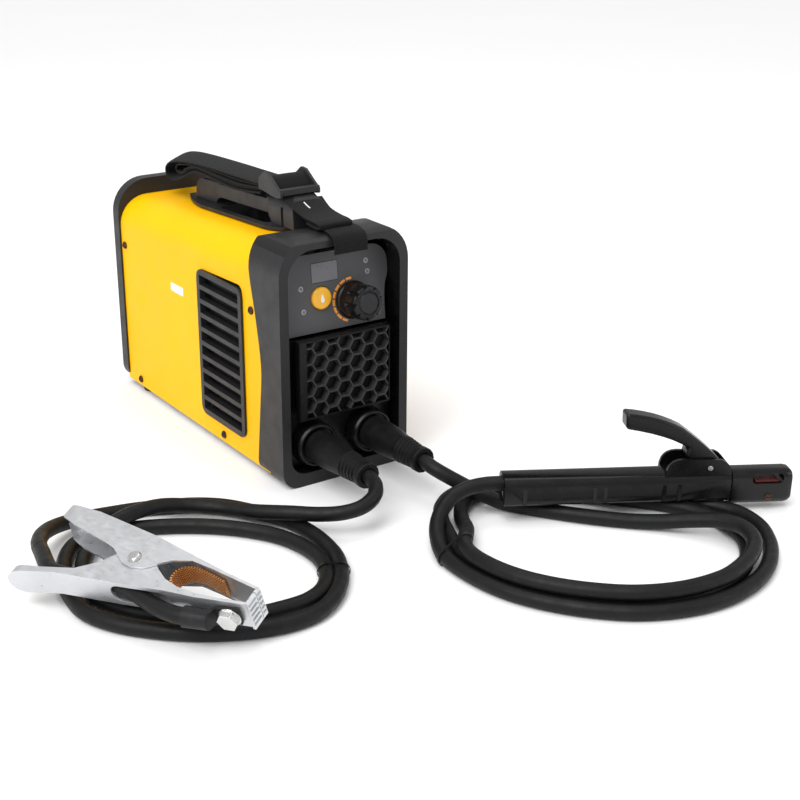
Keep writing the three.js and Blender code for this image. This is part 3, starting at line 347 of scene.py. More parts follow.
def dark_screw():
    """Blackened screw with worn brown steel showing."""
    m = Shader("dark_screw", (0.05, 0.03, 0.025), 0.35, 0.7)
    worn = m.ranged(m.noise(0.0012, 4.0), 0.0, 1.0, 0.5, 0.7)
    m.colour(m.mix_colour(worn, (0.035, 0.02, 0.018), (0.20, 0.10, 0.07)))
    m.rough(m.ranged(m.noise(0.001, 3.0), 0.25, 0.5))
    m.bump(m.noise(0.0005, 2.0), 0.12, 0.0002)
    return m.material


def copper_braid():
    """Woven copper wire: two crossing diagonal strands in orange copper, with painted shade in the gaps
    between them.
    """
    m = Shader("copper_braid", (0.75, 0.30, 0.09), 0.42, 0.75)
    across, along = m.strip()
    height = m.math("MAXIMUM", m.wave(m.math("ADD", across, along), WIRE_PITCH),
                    m.wave(m.math("SUBTRACT", across, along), WIRE_PITCH))
    # painted shade: the colour darkens from the wires' crowns into the gaps between them
    painted_gap_shade = m.ranged(height, 0.0, 1.0, -0.5, 0.9)
    tone = m.mix_colour(m.noise(0.003, 4.0), (0.80, 0.30, 0.07), (0.95, 0.48, 0.17))
    m.colour(m.mix_colour(painted_gap_shade, (0.16, 0.04, 0.01), tone))
    m.bump(height, 0.8, 0.0008)
    m.rough(m.ranged(m.noise(0.002, 3.0), 0.32, 0.5))
    return m.material


def glossy(name, base, roughness, coat=0.3):
    """Smooth plastic or print, with a clear coat where there is one."""
    m = Shader(name, base, roughness)
    m.colour(m.mix_colour(m.noise(0.012, 3.0), shade(base, 0.92), shade(base, 1.06)))
    m.rough(m.ranged(m.noise(0.004, 3.0), roughness * 0.8, roughness * 1.3))
    m.bump(m.noise(0.0015, 2.0), 0.03, 0.0002)
    m.set(Coat_Weight=coat, Coat_Roughness=0.1)
    return m.material


def circuit_board():
    """Green lacquer with a lighter pattern of tracks."""
    m = Shader("circuit_board", (0.02, 0.12, 0.05), 0.35)
    tracks = m.node("TexBrick", Scale=160.0)
    m.link(m.vector(), tracks.inputs["Vector"])
    shown = m.ranged(tracks.outputs["Fac"], 0, 1, 0, 1)
    m.colour(m.mix_colour(shown, (0.02, 0.13, 0.05), (0.05, 0.24, 0.10)))
    m.bump(tracks.outputs["Fac"], 0.2, 0.0003)
    return m.material


MATERIALS = {
    "yellow": yellow_paint(),
    "bezel": moulded_plastic("bezel_plastic", (0.016, 0.016, 0.0175), 0.0005, (0.36, 0.5)),
    "black": moulded_plastic("black_plastic", (0.004, 0.004, 0.0045), 0.0005, (0.24, 0.4), 0.15),
    "holder": moulded_plastic("holder_plastic", (0.004, 0.004, 0.0045), 0.0009, (0.2, 0.34), 0.12),
    "knob": moulded_plastic("knob_plastic", (0.006, 0.006, 0.007), 0.0006, (0.26, 0.4), 0.1),
    "cap": moulded_plastic("knob_cap", (0.016, 0.016, 0.018), 0.0004, (0.4, 0.5), 0.15),
    "buckle": moulded_plastic("buckle_plastic", (0.022, 0.022, 0.024), 0.0005, (0.35, 0.5), 0.2),
    "panel": printed_film((0.082, 0.082, 0.086)),
    "window": glossy("display_window", (0.15, 0.15, 0.165), 0.3, 0.0),
    "button": glossy("button_orange", (0.92, 0.46, 0.02), 0.35),
    "arc": glossy("dial_orange", (0.95, 0.33, 0.03), 0.4),
    "light_grey": glossy("lens_grey", (0.36, 0.36, 0.37), 0.3),
    "white": glossy("white_print", (0.85, 0.85, 0.83), 0.45, 0.1),
    "rubber": rubber("boot_rubber", (0.004, 0.004, 0.0045)),
    "cable": rubber("cable_sheath", (0.0045, 0.0045, 0.0048), 0.0005, (0.42, 0.6)),
    "sleeve": rubber("shrink_sleeve", (0.010, 0.010, 0.011), 0.0006, (0.38, 0.5)),
    "webbing": webbing("strap_webbing", (0.0045, 0.0045, 0.0048)),
    "zinc": zinc_plate(),
    "bolt": bright_metal("plated_bolt", (0.72, 0.72, 0.71), (0.16, 0.3)),
    "brass": bright_metal("brass", (0.72, 0.50, 0.20)),
    "aluminium": bright_metal("heatsink_aluminium", (0.60, 0.61, 0.62), (0.3, 0.45)),
    "screw": dark_screw(),
    "braid": copper_braid(),
    "red": moulded_plastic("red_insulation", (0.085, 0.012, 0.009), 0.0008, (0.5, 0.7)),
    "board": circuit_board(),
    # painted highlight: the grille's walls take a lighter grey than its black frame
    "rib": moulded_plastic("grille_wall_painted_highlight", (0.040, 0.040, 0.042), 0.0005, (0.4, 0.5)),
    "tie": moulded_plastic("tie_plastic", (0.006, 0.006, 0.006), 0.0004, (0.25, 0.35), 0.05),
    "thread": moulded_plastic("white_thread", (0.75, 0.75, 0.72), 0.0006, (0.6, 0.8)),
}


# ---------------------------------------------------------------- mesh helpers
WELD_DISTANCE = 2e-6      # metres
COPLANAR = math.radians(0.6)
STRIP_CELLS = 8      # across a ribbon
SELVEDGE, SELVEDGE_THICKNESS = 0.12, 0.72      # as shares of half the ribbon's width and its thickness
SHEAR_START, SHEAR_REACH = 0.03, 0.07      # metres back along the grip


def add_object(name, mesh, material):
    piece = bpy.data.objects.new(name, mesh)
    SCENE.collection.objects.link(piece)
    mesh.materials.clear()
    mesh.materials.append(MATERIALS[material])
    return piece


def smooth(mesh, angle=35):
    mesh.shade_smooth()
    mesh.set_sharp_from_angle(angle=math.radians(angle))


def apply_modifiers(piece):
    graph = bpy.context.evaluated_depsgraph_get()
    made = bpy.data.meshes.new_from_object(piece.evaluated_get(graph))
    piece.modifiers.clear()
    piece.data = made


def body_of_node(node):
    return next(body for body, members in BODIES.items() if node in members)


def dress(node, material):
    """A CAD node whose shape is right keeps its mesh and takes a better material."""
    slots = NODES[node].data.materials
    slots.clear()
    slots.append(MATERIALS[material])


def refine(node, material, bevel=0.4, angle=32, segments=3, reshape=None, clamp=True,
           ride=True):
    """A piece with ride false stays off its body.
    A piece that a caller blends across a joint doesn't ride."""
    mesh = NODES[node].data.copy()
    bm = bmesh.new()
    bm.from_mesh(mesh)
    bmesh.ops.remove_doubles(bm, verts=bm.verts, dist=WELD_DISTANCE)
    bmesh.ops.dissolve_limit(bm, angle_limit=COPLANAR, verts=bm.verts, edges=bm.edges)
    if reshape:
        reshape(bm)
    bmesh.ops.recalc_face_normals(bm, faces=bm.faces)
    bm.to_mesh(mesh)
    bm.free()
    mesh.shade_smooth()
    piece = add_object(node + "_detailed", mesh, material)
    if bevel:
        edge = piece.modifiers.new("edges", "BEVEL")
        edge.width = bevel * MM
        edge.segments = segments
        edge.limit_method = "ANGLE"
        edge.angle_limit = math.radians(angle)
        edge.use_clamp_overlap = clamp
        even = piece.modifiers.new("even_shading", "WEIGHTED_NORMAL")
        even.keep_sharp = True
        apply_modifiers(piece)
    else:
        smooth(piece.data, 38)
    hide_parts(node)
    if ride:
        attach(piece, body_of_node(node))
    return piece


def from_bmesh(name, bm, material, place=None, body="machine", angle=35):
    """A finished piece on its body, or on none when body is empty."""
    bmesh.ops.recalc_face_normals(bm, faces=bm.faces)
    mesh = bpy.data.meshes.new(name)
    bm.to_mesh(mesh)
    bm.free()
    if place is not None:
        mesh.transform(place)
    smooth(mesh, angle)
    piece = add_object(name, mesh, material)
    if body:
        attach(piece, body)
    return piece


def loft(bm, rings, first=True, last=True):
    """Walls from each ring of vertices to the next, and a face on the first and the last ring."""
    for a, b in zip(rings, rings[1:]):
        for k in range(len(a)):
            bm.faces.new([a[k], a[(k + 1) % len(a)], b[(k + 1) % len(a)], b[k]])
    if first:
        bm.faces.new(rings[0])
    if last:
        bm.faces.new(rings[-1])


def block(bm, low, high):
    """A block between two corners, in millimetres."""
    for v in bmesh.ops.create_cube(bm, size=1.0)["verts"]:
        v.co = Vector([a + (b - a) * (c + 0.5) for a, b, c in zip(low, high, v.co)]) * MM


def centripetal(points, steps):
    """The smooth curve through the points, the same one that the CAD tube follows."""
    out = []
    for i in range(len(points) - 1):
        p1, p2 = points[i], points[i + 1]
        p0 = points[i - 1] if i > 0 else p1 * 2 - p2
        p3 = points[i + 2] if i + 2 < len(points) else p2 * 2 - p1
        d0, d1, d2 = (math.sqrt((b - a).length) for a, b in ((p0, p1), (p1, p2), (p2, p3)))
        t1 = ((p1 - p0) / d0 - (p2 - p0) / (d0 + d1) + (p2 - p1) / d1) * d1
        t2 = ((p2 - p1) / d1 - (p3 - p1) / (d1 + d2) + (p3 - p2) / d2) * d1
        for k in range(steps):
            t = k / steps
            c2 = (p2 - p1) * 3 - t1 * 2 - t2
            c3 = (p1 - p2) * 2 + t1 + t2
            out.append(p1 + t1 * t + c2 * t * t + c3 * t ** 3)
    out.append(points[-1])
    return out


def tube_curve(name, points, radius, material, body="machine"):
    curve = bpy.data.curves.new(name, "CURVE")
    curve.dimensions = "3D"
    curve.bevel_depth = radius
    curve.bevel_resolution = 5
    curve.use_fill_caps = True
    spline = curve.splines.new("POLY")
    spline.points.add(len(points) - 1)
    for target, point in zip(spline.points, points):
        target.co = (*point, 1)
    piece = bpy.data.objects.new(name, curve)
    SCENE.collection.objects.link(piece)
    curve.materials.append(MATERIALS[material])
    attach(piece, body)
    return piece


def ribbon(name, path, left, right, thickness, material, body="machine", sag=0.0, place=MACHINE,
           shear=0.0, steps=8):
    """A flat strip along a (y, z) path, from x = left to right, with thin edges and UVs in metres.
    Its edges sag, and shear moves its two edges apart along the path behind SHEAR_START."""
    line = centripetal([Vector((0, y, z)) * MM for y, z in path], steps)
    half = thickness * MM / 2
    bm = bmesh.new()
    uv = bm.loops.layers.uv.new("UVMap")
    travelled = [0.0]
    for a, b in zip(line, line[1:]):
        travelled.append(travelled[-1] + (b - a).length)
    top = [(k / STRIP_CELLS, 1) for k in range(STRIP_CELLS + 1)]
    profile = top + [(share, -1) for share, _ in reversed(top)]
    rings = []
    marks = []
    for i, point in enumerate(line):
        ahead = line[min(i + 1, len(line) - 1)] - line[max(i - 1, 0)]
        ahead.normalize()
        normal = Vector((0, -ahead.z, ahead.y))
        slant = shear * MM * min(1.0, max(0.0, (point.y - SHEAR_START) / SHEAR_REACH))
        ring = []
        mark = []
        for s, side in profile:
            x = (left + (right - left) * s) * MM
            edge = min(s, 1 - s) * 2
            thick = half * (1.0 if edge > SELVEDGE else SELVEDGE_THICKNESS)
            dip = sag * MM * (2 * s - 1) ** 2
            place_at = point + normal * (side * thick) + Vector((x, slant * (s - 0.5), -dip))
            ring.append(bm.verts.new(place_at))
            mark.append((s * (right - left) * MM, travelled[i]))
        rings.append(ring)
        marks.append(mark)
    count = len(rings[0])
    for i in range(len(rings) - 1):
        for k in range(count):
            corners = [(i, k), (i, (k + 1) % count), (i + 1, (k + 1) % count), (i + 1, k)]
            face = bm.faces.new([rings[a][b] for a, b in corners])
            for loop, (a, b) in zip(face.loops, corners):
                loop[uv].uv = marks[a][b]
    for i in (0, -1):
        face = bm.faces.new(rings[i])
        for loop, mark in zip(face.loops, marks[i]):
            loop[uv].uv = mark
    return from_bmesh(name, bm, material, place, body, 50)


def disc(name, radius, low, high, material, place, x, y, sides=32, body="machine", dome=0.0, rim=0.3):
    """A short round piece with a softened front edge, standing on a plane at (x, y)."""
    profile = [(radius, low), (radius, high - rim), (radius - rim, high),
               (radius * 0.5, high + dome * 0.75)]
    bm = bmesh.new()
    rings = []
    for r, z in profile:
        rings.append([bm.verts.new(Vector((x + r * math.cos(2 * math.pi * k / sides),
                                           y + r * math.sin(2 * math.pi * k / sides), z)) * MM)
                      for k in range(sides)])
    loft(bm, rings, last=False)
    top = bm.verts.new(Vector((x, y, high + dome)) * MM)
    for k in range(sides):
        bm.faces.new([rings[-1][k], rings[-1][(k + 1) % sides], top])
    return from_bmesh(name, bm, material, place, body)


def slab(name, outline, low, high, material, place, body="machine", bevel=0.2):
    """A flat plate with the given outline in (x, y) and rounded edges."""
    bm = bmesh.new()
    bottom = [bm.verts.new(Vector((x, y, low)) * MM) for x, y in outline]
    top = [bm.verts.new(Vector((x, y, high)) * MM) for x, y in outline]
    loft(bm, [bottom, top])
    if bevel:
        bmesh.ops.bevel(bm, geom=list(bm.edges), offset=bevel * MM, segments=2, affect="EDGES",
                        clamp_overlap=True)
    return from_bmesh(name, bm, material, place, body)


def rounded(x0, y0, x1, y1, radius, steps=4):
    """The outline of a rectangle with round corners."""
    points = []
    for cx, cy, start in ((x1 - radius, y0 + radius, -90), (x1 - radius, y1 - radius, 0),
                          (x0 + radius, y1 - radius, 90), (x0 + radius, y0 + radius, 180)):
        for k in range(steps + 1):
            angle = math.radians(start + 90 * k / steps)
            points.append((cx + radius * math.cos(angle), cy + radius * math.sin(angle)))
    return points


# ---------------------------------------------------------------- cables
TIE_CLEARANCE = 0.7 * MM      # from the sheath to the middle of a tie's band
TIE_HALF_WIDTH, TIE_HALF_THICKNESS = 1.1, 0.3


def route(points, tail=()):
    """A cable's points in the row frame: from the machine's own frame, then from the clamp's."""
    line = [MACHINE @ (Vector(p) * MM) for p in points]
    return line + [CLAMP @ (Vector(p) * MM) for p in tail]


def make_cables(boots, lug, holder_handle):
    earth_line = centripetal(route(EARTH_ROUTE, CLAMP_ROUTE), 6)
    electrode_line = centripetal(route(ELECTRODE_ROUTE), 6)
    earth = tube_curve("earth_cable_sheath", earth_line, CABLE_RADIUS, "cable")
    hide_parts("earth_cable")
    electrode = tube_curve("electrode_cable_sheath", electrode_line, CABLE_RADIUS, "cable")
    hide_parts("electrode_cable")
    cable_tie("cable_tie_left", earth_line, (-100, -288), (0.46, 0.89), 0.022)
    cable_tie("cable_tie_right", electrode_line, (-17, -316), (0.08, 1.0), 0.024)


def strands_at(line, origin, along, side, near):
    """Where the cable's line passes through the plane of a tie, as (sideways, height) pairs."""
    found = []
    for a, b in zip(line, line[1:]):
        da, db = (a - origin).dot(along), (b - origin).dot(along)
        if da * db >= 0:
            continue
        cross = a.lerp(b, da / (da - db)) - origin
        if abs(cross.dot(side)) < near:
            found.append((cross.dot(side), cross.z))
    return found


def convex_hull(cloud):
    hull = []
    for points in (cloud, cloud[::-1]):
        chain = []
        for x, y in points:
            while len(chain) > 1:
                (ax, ay), (bx, by) = chain[-2:]
                if (bx - ax) * (y - ay) - (by - ay) * (x - ax) > 0:
                    break
                chain.pop()
            chain.append((x, y))
        hull += chain[:-1]
    return hull


def cable_tie(name, line, at, along, near):
    """A thin band pulled tight round the strands that lie beside and on each other."""
    along = Vector((*along, 0)).normalized()
    side = Vector((along.y, -along.x, 0)).normalized()
    origin = MACHINE @ (Vector((*at, 0)) * MM)
    reach = CABLE_RADIUS + TIE_CLEARANCE
    sides = 24
    hull = convex_hull(sorted(
        (s + reach * math.cos(2 * math.pi * k / sides), z + reach * math.sin(2 * math.pi * k / sides))
        for s, z in strands_at(line, origin, along, side, near) for k in range(sides)))
    middle = (sum(p[0] for p in hull) / len(hull), sum(p[1] for p in hull) / len(hull))
    section = [(width * TIE_HALF_WIDTH, out * TIE_HALF_THICKNESS)
               for width, out in ((-1, -1), (-1, 1), (1, 1), (1, -1))]
    bm = bmesh.new()
    rings = []
    for width, out in section:
        ring = []
        for s, z in hull:
            away = Vector((s - middle[0], z - middle[1]))
            away.normalize()
            up = max(0.3 * MM, z + away.y * out * MM)      # the band stays above the floor
            spot = origin + side * (s + away.x * out * MM) + Vector((0, 0, up))
            ring.append(bm.verts.new(spot + along * (width * MM)))
        rings.append(ring)
    loft(bm, rings + rings[:1], first=False, last=False)
    return from_bmesh(name, bm, "tie")


# ---------------------------------------------------------------- machine
def dress_machine():
    paint_inside_shade(refine("cover_shell", "yellow", 0.5))
    paint_bezel_recess_shade(refine("front_bezel", "bezel", 1.6, 40, 4))
    refine("rear_bezel", "bezel", 1.2, 40, 4)
    refine("vent_left", "bezel", 0.4, 40, 2)
    refine("vent_right", "bezel", 0.4, 40, 2)
    refine("control_panel", "panel", 0.35, 40, 2)
    refine("display_window", "window", 0.25)
    refine("mode_button", "button", 0.4)
    knob()
    refine("lower_fascia", "black", 0.4)
    honeycomb()
    for side in ("left", "right"):
        refine(f"socket_{side}", "black", 0.5)
        dress(f"plug_pin_{side}", "brass")
        dress(f"rear_foot_{side}", "rubber")
        for i in range(1, 5):
            refine(f"screw_{side}_{i}", "screw", 0.15, 30, 2)
    refine("rear_panel", "bezel", 0.3, 40, 2)
    refine("fan_frame", "black", 0.4, 40, 2)
    refine("fan_rotor", "black", 0.3, 40, 2)
    refine("power_switch_body", "black", 0.4)
    refine("power_rocker", "black", 0.5)
    refine("cable_gland", "black", 0.4)
    refine("handle_tray", "bezel", 0.5, 40, 3)
    refine("handle_grip", "buckle", 1.5, 40, 4)
    refine("strap_buckle", "buckle", 0.6, 40, 3)
    dress("base_pan", "zinc")
    dress("potentiometer", "bolt")
    dress("control_board", "board")
    dress("main_board", "board")
    dress("heatsink", "aluminium")
    dress("transformer", "screw")
    dress("capacitor", "black")


GRILLE_LOW, GRILLE_HIGH = (-36.5, 57.2), (41.2, 120.6)
CELL_ROW = 13.23      # from one cell to the one below it
WALL_HALF, WALL_HEIGHT, WALL_TAPER = 0.75, 6.2, 0.35
FRAME_HEIGHT = 6.6


def cell_edges():
    """Every edge of a honeycomb larger than the grille, once, as two (x, z) corners."""
    step = CELL_ROW * math.sqrt(3) / 2
    corner = CELL_ROW / math.sqrt(3)
    edges = set()
    for column in range(-4, 5):
        for line in range(-1, 6):
            x = -0.5 + column * step
            z = 108.9 - line * CELL_ROW + (CELL_ROW / 2 if column % 2 == 0 else 0)
            corners = [(round(x + corner * math.cos(math.pi * k / 3), 3),
                        round(z + corner * math.sin(math.pi * k / 3), 3)) for k in range(6)]
            for k in range(6):
                edges.add(tuple(sorted((corners[k], corners[(k + 1) % 6]))))
    return sorted(edges)


def inside_grille(start, end):
    """The ends of the part of an edge that lies inside the grille, or nothing."""
    low, high = 0.0, 1.0
    for a, b, least, most in zip(start, end, GRILLE_LOW, GRILLE_HIGH):
        if abs(b - a) < 1e-6:
            if not least <= a <= most:
                return None
            continue
        ends = sorted(((least - a) / (b - a), (most - a) / (b - a)))
        low, high = max(low, ends[0]), min(high, ends[1])
    if high - low < 0.02:
        return None
    return [Vector([a + (b - a) * share for a, b in zip(start, end)] + [0]) for share in (low, high)]


def honeycomb():
    """Honeycomb in a black frame: each wall runs between two corners of the cells and tapers. The walls'
    lighter grey is a painted highlight.
    """
    face = placed((0, -140, 0), (math.pi / 2, "X"))
    bm = bmesh.new()
    for start, end in cell_edges():
        wall = inside_grille(start, end)
        if wall is None:
            continue
        a, b = wall
        across = Vector((-(b - a).y, (b - a).x, 0)).normalized() * WALL_HALF
        corners = ((a, -across), (b, -across), (b, across), (a, across))
        rise = Vector((0, 0, WALL_HEIGHT))
        back = [bm.verts.new((middle + out) * MM) for middle, out in corners]
        front = [bm.verts.new((middle + out * (1 - WALL_TAPER) + rise) * MM) for middle, out in corners]
        loft(bm, [back, front])
    cells = from_bmesh("honeycomb_walls", bm, "rib", face, angle=20)
    bm = bmesh.new()
    for x0, z0, x1, z1 in ((-43, 56, -36.2, 121.7), (40.8, 56, 42, 121.7), (-37, 56, 41, 57.6),
                           (-37, 120.1, 41, 121.7)):
        block(bm, (x0, z0, 0), (x1, z1, FRAME_HEIGHT))
    bmesh.ops.bevel(bm, geom=list(bm.edges), offset=0.4 * MM, segments=2, affect="EDGES",
                    clamp_overlap=True)
    surround = from_bmesh("grille_frame", bm, "black", face)
    for piece in (cells, surround):
        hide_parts("hex_grille")


def paint_bezel_recess_shade(piece):
    """The front bezel's recess takes the glossier black plastic, darker than its rim: painted shade inside
    the recess.
    """
    piece.data.materials.append(MATERIALS["black"])
    for face in piece.data.polygons:
        spot = (MACHINE.inverted() @ face.center) / MM
        if abs(spot.x) < 52.5 and spot.y > -145.0 and 6 < spot.z < 198:
            face.material_index = 1


def paint_inside_shade(piece):
    """The cover's inside faces take black plastic: painted shade inside the case."""
    piece.data.materials.append(MATERIALS["black"])
    for face in piece.data.polygons:
        spot = (MACHINE.inverted() @ face.center) / MM
        outwards = Vector((spot.x, 0, max(0.0, spot.z - 150)))
        thick = abs(face.normal.y) > 0.7
        if not thick and face.normal.dot(outwards) < 0 and (abs(spot.x) > 40 or spot.z > 170):
            face.material_index = 1


NOTCHES, NOTCH_DEPTH, NOTCH_HALF_WIDTH = 9, 2.3, 0.17      # the width as a share of the pitch
KNOB_SIDES = 144
KNOB_STAND = 0.5      # its skirt's gap from the panel


def knob():
    """Round skirt, smooth neck and a notched front with a ringed face."""
    profile = [(0, 15, 0), (0.6, 15.2, 0), (2.8, 15.2, 0), (3.8, 14.2, 0), (10.2, 13.9, 0), (11, 13.8, 0.6),
               (11.8, 14.1, 1), (22.6, 13.9, 1), (23.6, 13.4, 1), (24.1, 12.4, 0.8), (24.2, 9.6, 0.1),
               (23.5, 9.2, 0), (23.5, 8.6, 0), (24.0, 8.2, 0), (24.25, 7.4, 0)]
    bm = bmesh.new()
    rings = []
    for z, radius, cut in profile:
        ring = []
        for k in range(KNOB_SIDES):
            angle = 2 * math.pi * k / KNOB_SIDES
            away = (angle * NOTCHES / (2 * math.pi)) % 1 - 0.5
            notch = max(0.0, 1 - (away / NOTCH_HALF_WIDTH) ** 2) ** 0.7
            r = radius - NOTCH_DEPTH * cut * notch
            spot = Vector((KNOB["x"] + r * math.cos(angle), KNOB["up"] + r * math.sin(angle),
                           z + KNOB_STAND))
            ring.append(bm.verts.new(spot * MM))
        rings.append(ring)
    loft(bm, rings)
    piece = from_bmesh("current_knob_detailed", bm, "knob", PANEL, "current_knob_body", 40)
    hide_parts("current_knob")


def top_of(node):
    """How far a node stands out of the panel's face."""
    return max((PANEL.inverted() @ v.co).z for v in NODES[node].data.vertices) / MM


def dial_dashes():
    """The orange dashed ring round the left and lower part of the knob."""
    inner, outer = 16.2, 18.2
    first, pitch, sweep = 88, 21, math.radians(17)
    for i in range(8):
        start = math.radians(first + i * pitch)
        angles = [start + sweep * k / 3 for k in range(4)]
        outline = [(KNOB["x"] + r * math.cos(a), KNOB["up"] + r * math.sin(a))
                   for r, run in ((outer, angles), (inner, angles[::-1])) for a in run]
        slab(f"dial_dash_{i + 1}", outline, -0.1, 0.3, "arc", PANEL, bevel=0)


def panel_marks():
    """Indicator lamps, the dial's dashed ring, the knob's cap and the button's plain drop."""
    for i, (x, y) in enumerate([(-30.4, 38.0), (-29.4, 19.7), (30.9, 51.4), (31.7, 42.5)]):
        disc(f"lamp_ring_{i + 1}", 2.2, -0.2, 0.35, "light_grey", PANEL, x, y, 24)
        disc(f"lamp_lens_{i + 1}", 1.4, 0.3, 0.6, "window", PANEL, x, y, 20, dome=0.4)
    dial_dashes()
    front = KNOB["length"]
    disc("knob_cap", 8.0, front + 0.3, front + 0.9, "cap", PANEL, KNOB["x"], KNOB["up"], 40,
         "current_knob_body", 0.2, 0.3)
    drop = [(BUTTON["x"] + 2.34 * math.sin(a) * (0.6 + 0.4 * math.cos(a)),
             BUTTON["up"] - 3.4 * math.cos(a)) for a in (2 * math.pi * k / 20 for k in range(20))]
    face = top_of("mode_button")
    slab("button_drop", drop, face - 0.1, face + 0.15, "white", PANEL, "mode_button_body", 0)


def shade_sheets_behind_grilles():
    """Black sheets behind the grille and the side vents that close the view into the case: painted shade
    inside it.
    """
    slab("grille_shade_sheet", rounded(-39, 58, 40.5, 120, 3), 0, 0.8, "black",
         placed((0, -139, 0), (math.pi / 2, "X")))
    for side, x in (("left", -53.0), ("right", 52.7)):
        slab(f"vent_shade_sheet_{side}", rounded(-82, 28, -14.5, 148, 5), 0, 0.3, "black", side_plane(x),
             bevel=0)


def side_sticker():
    slab("blank_sticker", rounded(19, 118.5, 42, 126, 0.8), 0, 0.12, "white",
         side_plane(-57.55, facing=-1), bevel=0)


STRAP_SHEAR = 28.5      # how much further back the bundle reaches on one side than on the other


def strap():
    """Webbing folded back and forth along the grip, then through the slider and over the bezel."""
    loop = [(-50, 217.4), (-26, 214.2), (0, 212.3), (20, 213), (50, 214), (72, 213.4), (88, 209.4),
            (103, 203.6), (115, 199.4), (126, 198), (133, 200.4), (135, 205.4), (131, 210.4), (119, 214.8),
            (100, 218), (80, 219.8), (55, 221.2), (26, 222.5), (0, 223.2), (-50, 224.8)]
    inner = [(-50, 219.4), (-10, 214.8), (20, 215), (50, 216), (74, 215.4), (90, 211.8), (102, 207.4),
             (110, 205.6), (115, 207.6), (114, 211.4), (105, 214), (88, 216.4), (60, 218.4), (20, 219.8),
             (-15, 220.4), (-50, 222.6)]
    core = [(-50, 221), (-10, 216.8), (20, 216.9), (50, 217.6), (72, 217.2), (88, 214), (99, 210.6)]
    plies = [
        ribbon("strap_outer_fold", loop, -19, 12.3, 1.6, "webbing", sag=0.4, shear=STRAP_SHEAR),
        ribbon("strap_inner_fold", inner, -18.2, 12.5, 1.5, "webbing", sag=-0.3, shear=STRAP_SHEAR),
        ribbon("strap_core", core, -18.8, 11.8, 1.4, "webbing", shear=STRAP_SHEAR),
    ]
    over = [(-50, 225.4), (-56, 230), (-62, 232.8), (-68, 232.2), (-75, 227.4), (-82, 219.8), (-90, 216.8),
            (-99, 214.2), (-112, 211.4), (-124, 210.2), (-132, 209.9), (-137, 208.5), (-136.6, 206.6),
            (-130, 205.9), (-118, 207)]
    end = [(-86, 217.2), (-98, 210.6), (-112, 206.4), (-128, 204.9), (-141, 204.2), (-148.5, 201.6),
           (-151.3, 196.5), (-151.2, 188.8)]
    tails = [
        ribbon("strap_through_slider", over, -17.6, 12.4, 1.5, "webbing", sag=0.3),
        ribbon("strap_end", end, -13, 17, 1.4, "webbing", sag=0.2),
    ]
    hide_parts("strap_bundle")
    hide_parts("strap_tail")
    stitch = [(-95.0, 216.9), (-99.5, 215.3), (-104, 214.2)]
    ribbon("strap_stitch", stitch, -5.6, -4.5, 0.5, "thread", steps=3)


# ---------------------------------------------------------------- plugs, holder and clamp
def make_boots():
    return {side: refine(f"plug_boot_{side}", "rubber", 0.5, 30, 2) for side in ("left", "right")}


def carve(piece, outline):
    """Cuts a prism, given as an (x, z) outline in the holder's frame, right through the piece."""
    bm = bmesh.new()
    loft(bm, [[bm.verts.new(HOLDER @ (Vector((x, y, z)) * MM)) for x, z in outline] for y in (-20, 20)])
    bmesh.ops.recalc_face_normals(bm, faces=bm.faces)
    mesh = bpy.data.meshes.new("cutter")
    bm.to_mesh(mesh)
    bm.free()
    cutter = bpy.data.objects.new("cutter", mesh)
    SCENE.collection.objects.link(cutter)
    cut = piece.modifiers.new("cut", "BOOLEAN")
    cut.operation = "DIFFERENCE"
    cut.object = cutter
    apply_modifiers(piece)
    bpy.data.objects.remove(cutter)


HEAD_HALF_WIDTH, HEAD_HALF_HEIGHT, HEAD_ROUND, HEAD_MIDDLE = 9.5, 14.25, 6.8, 7.75


def holder_head():
    """Rounded insulated head with its electrode slot."""
    bm = bmesh.new()
    rings = []
    for x, scale in ((177, 0.93), (178.2, 1.0), (190, 1.0), (205, 1.0), (221.5, 1.0), (224.6, 0.955),
                     (226.4, 0.86), (227, 0.7)):
        wide, high = HEAD_HALF_WIDTH * scale, HEAD_HALF_HEIGHT * scale
        rings.append([bm.verts.new(HOLDER @ (Vector((x, y, z + HEAD_MIDDLE)) * MM))
                      for y, z in rounded(-wide, -high, wide, high, HEAD_ROUND * scale, 6)])
    loft(bm, rings)
    head = from_bmesh("holder_head_detailed", bm, "holder", angle=45)
    carve(head, rounded(194, 11.5, 219, 19.2, 3))
    smooth(head.data, 24)
    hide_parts("holder_head")


def dress_holder():
    """Dresses the holder and returns its handle."""
    handle = refine("holder_handle", "holder", 0)
    refine("holder_lever", "holder", 2.6, 50, 5, clamp=False)
    holder_head()
    refine("holder_pivot_pin", "bolt", 0.3)
    refine("jaw_insert", "red", 0.3)
    refine("head_screw", "screw", 0.25)
    return handle


def round_end(end, radius):
    """Rounds the clamp handle's end in plan, as the pressed sheet is. The sheet is first cut across
    at places that crowd towards the tip, so that the curve has points to follow."""
    def reshape(bm):
        bmesh.ops.transform(bm, matrix=CLAMP.inverted(), verts=bm.verts)
        centre = (end + radius) * MM
        for back in (0.6, 1.6, 3, 5, 7.5, radius):
            faces = [f for f in bm.faces if min(v.co.x for v in f.verts) < centre]
            parts = (faces + list({e for f in faces for e in f.edges})
                     + list({v for f in faces for v in f.verts}))
            bmesh.ops.bisect_plane(bm, geom=parts, plane_co=((end + back) * MM, 0, 0),
                                   plane_no=(1, 0, 0), dist=1e-6)
        for v in bm.verts:
            if v.co.x < centre:
                reach = math.sqrt(max(0.0, radius ** 2 - ((v.co.x - centre) / MM) ** 2)) * MM
                v.co.z = max(-1.0, min(1.0, v.co.z / (radius * MM))) * max(reach, 1.2 * MM)
        bmesh.ops.transform(bm, matrix=CLAMP, verts=bm.verts)
    return reshape


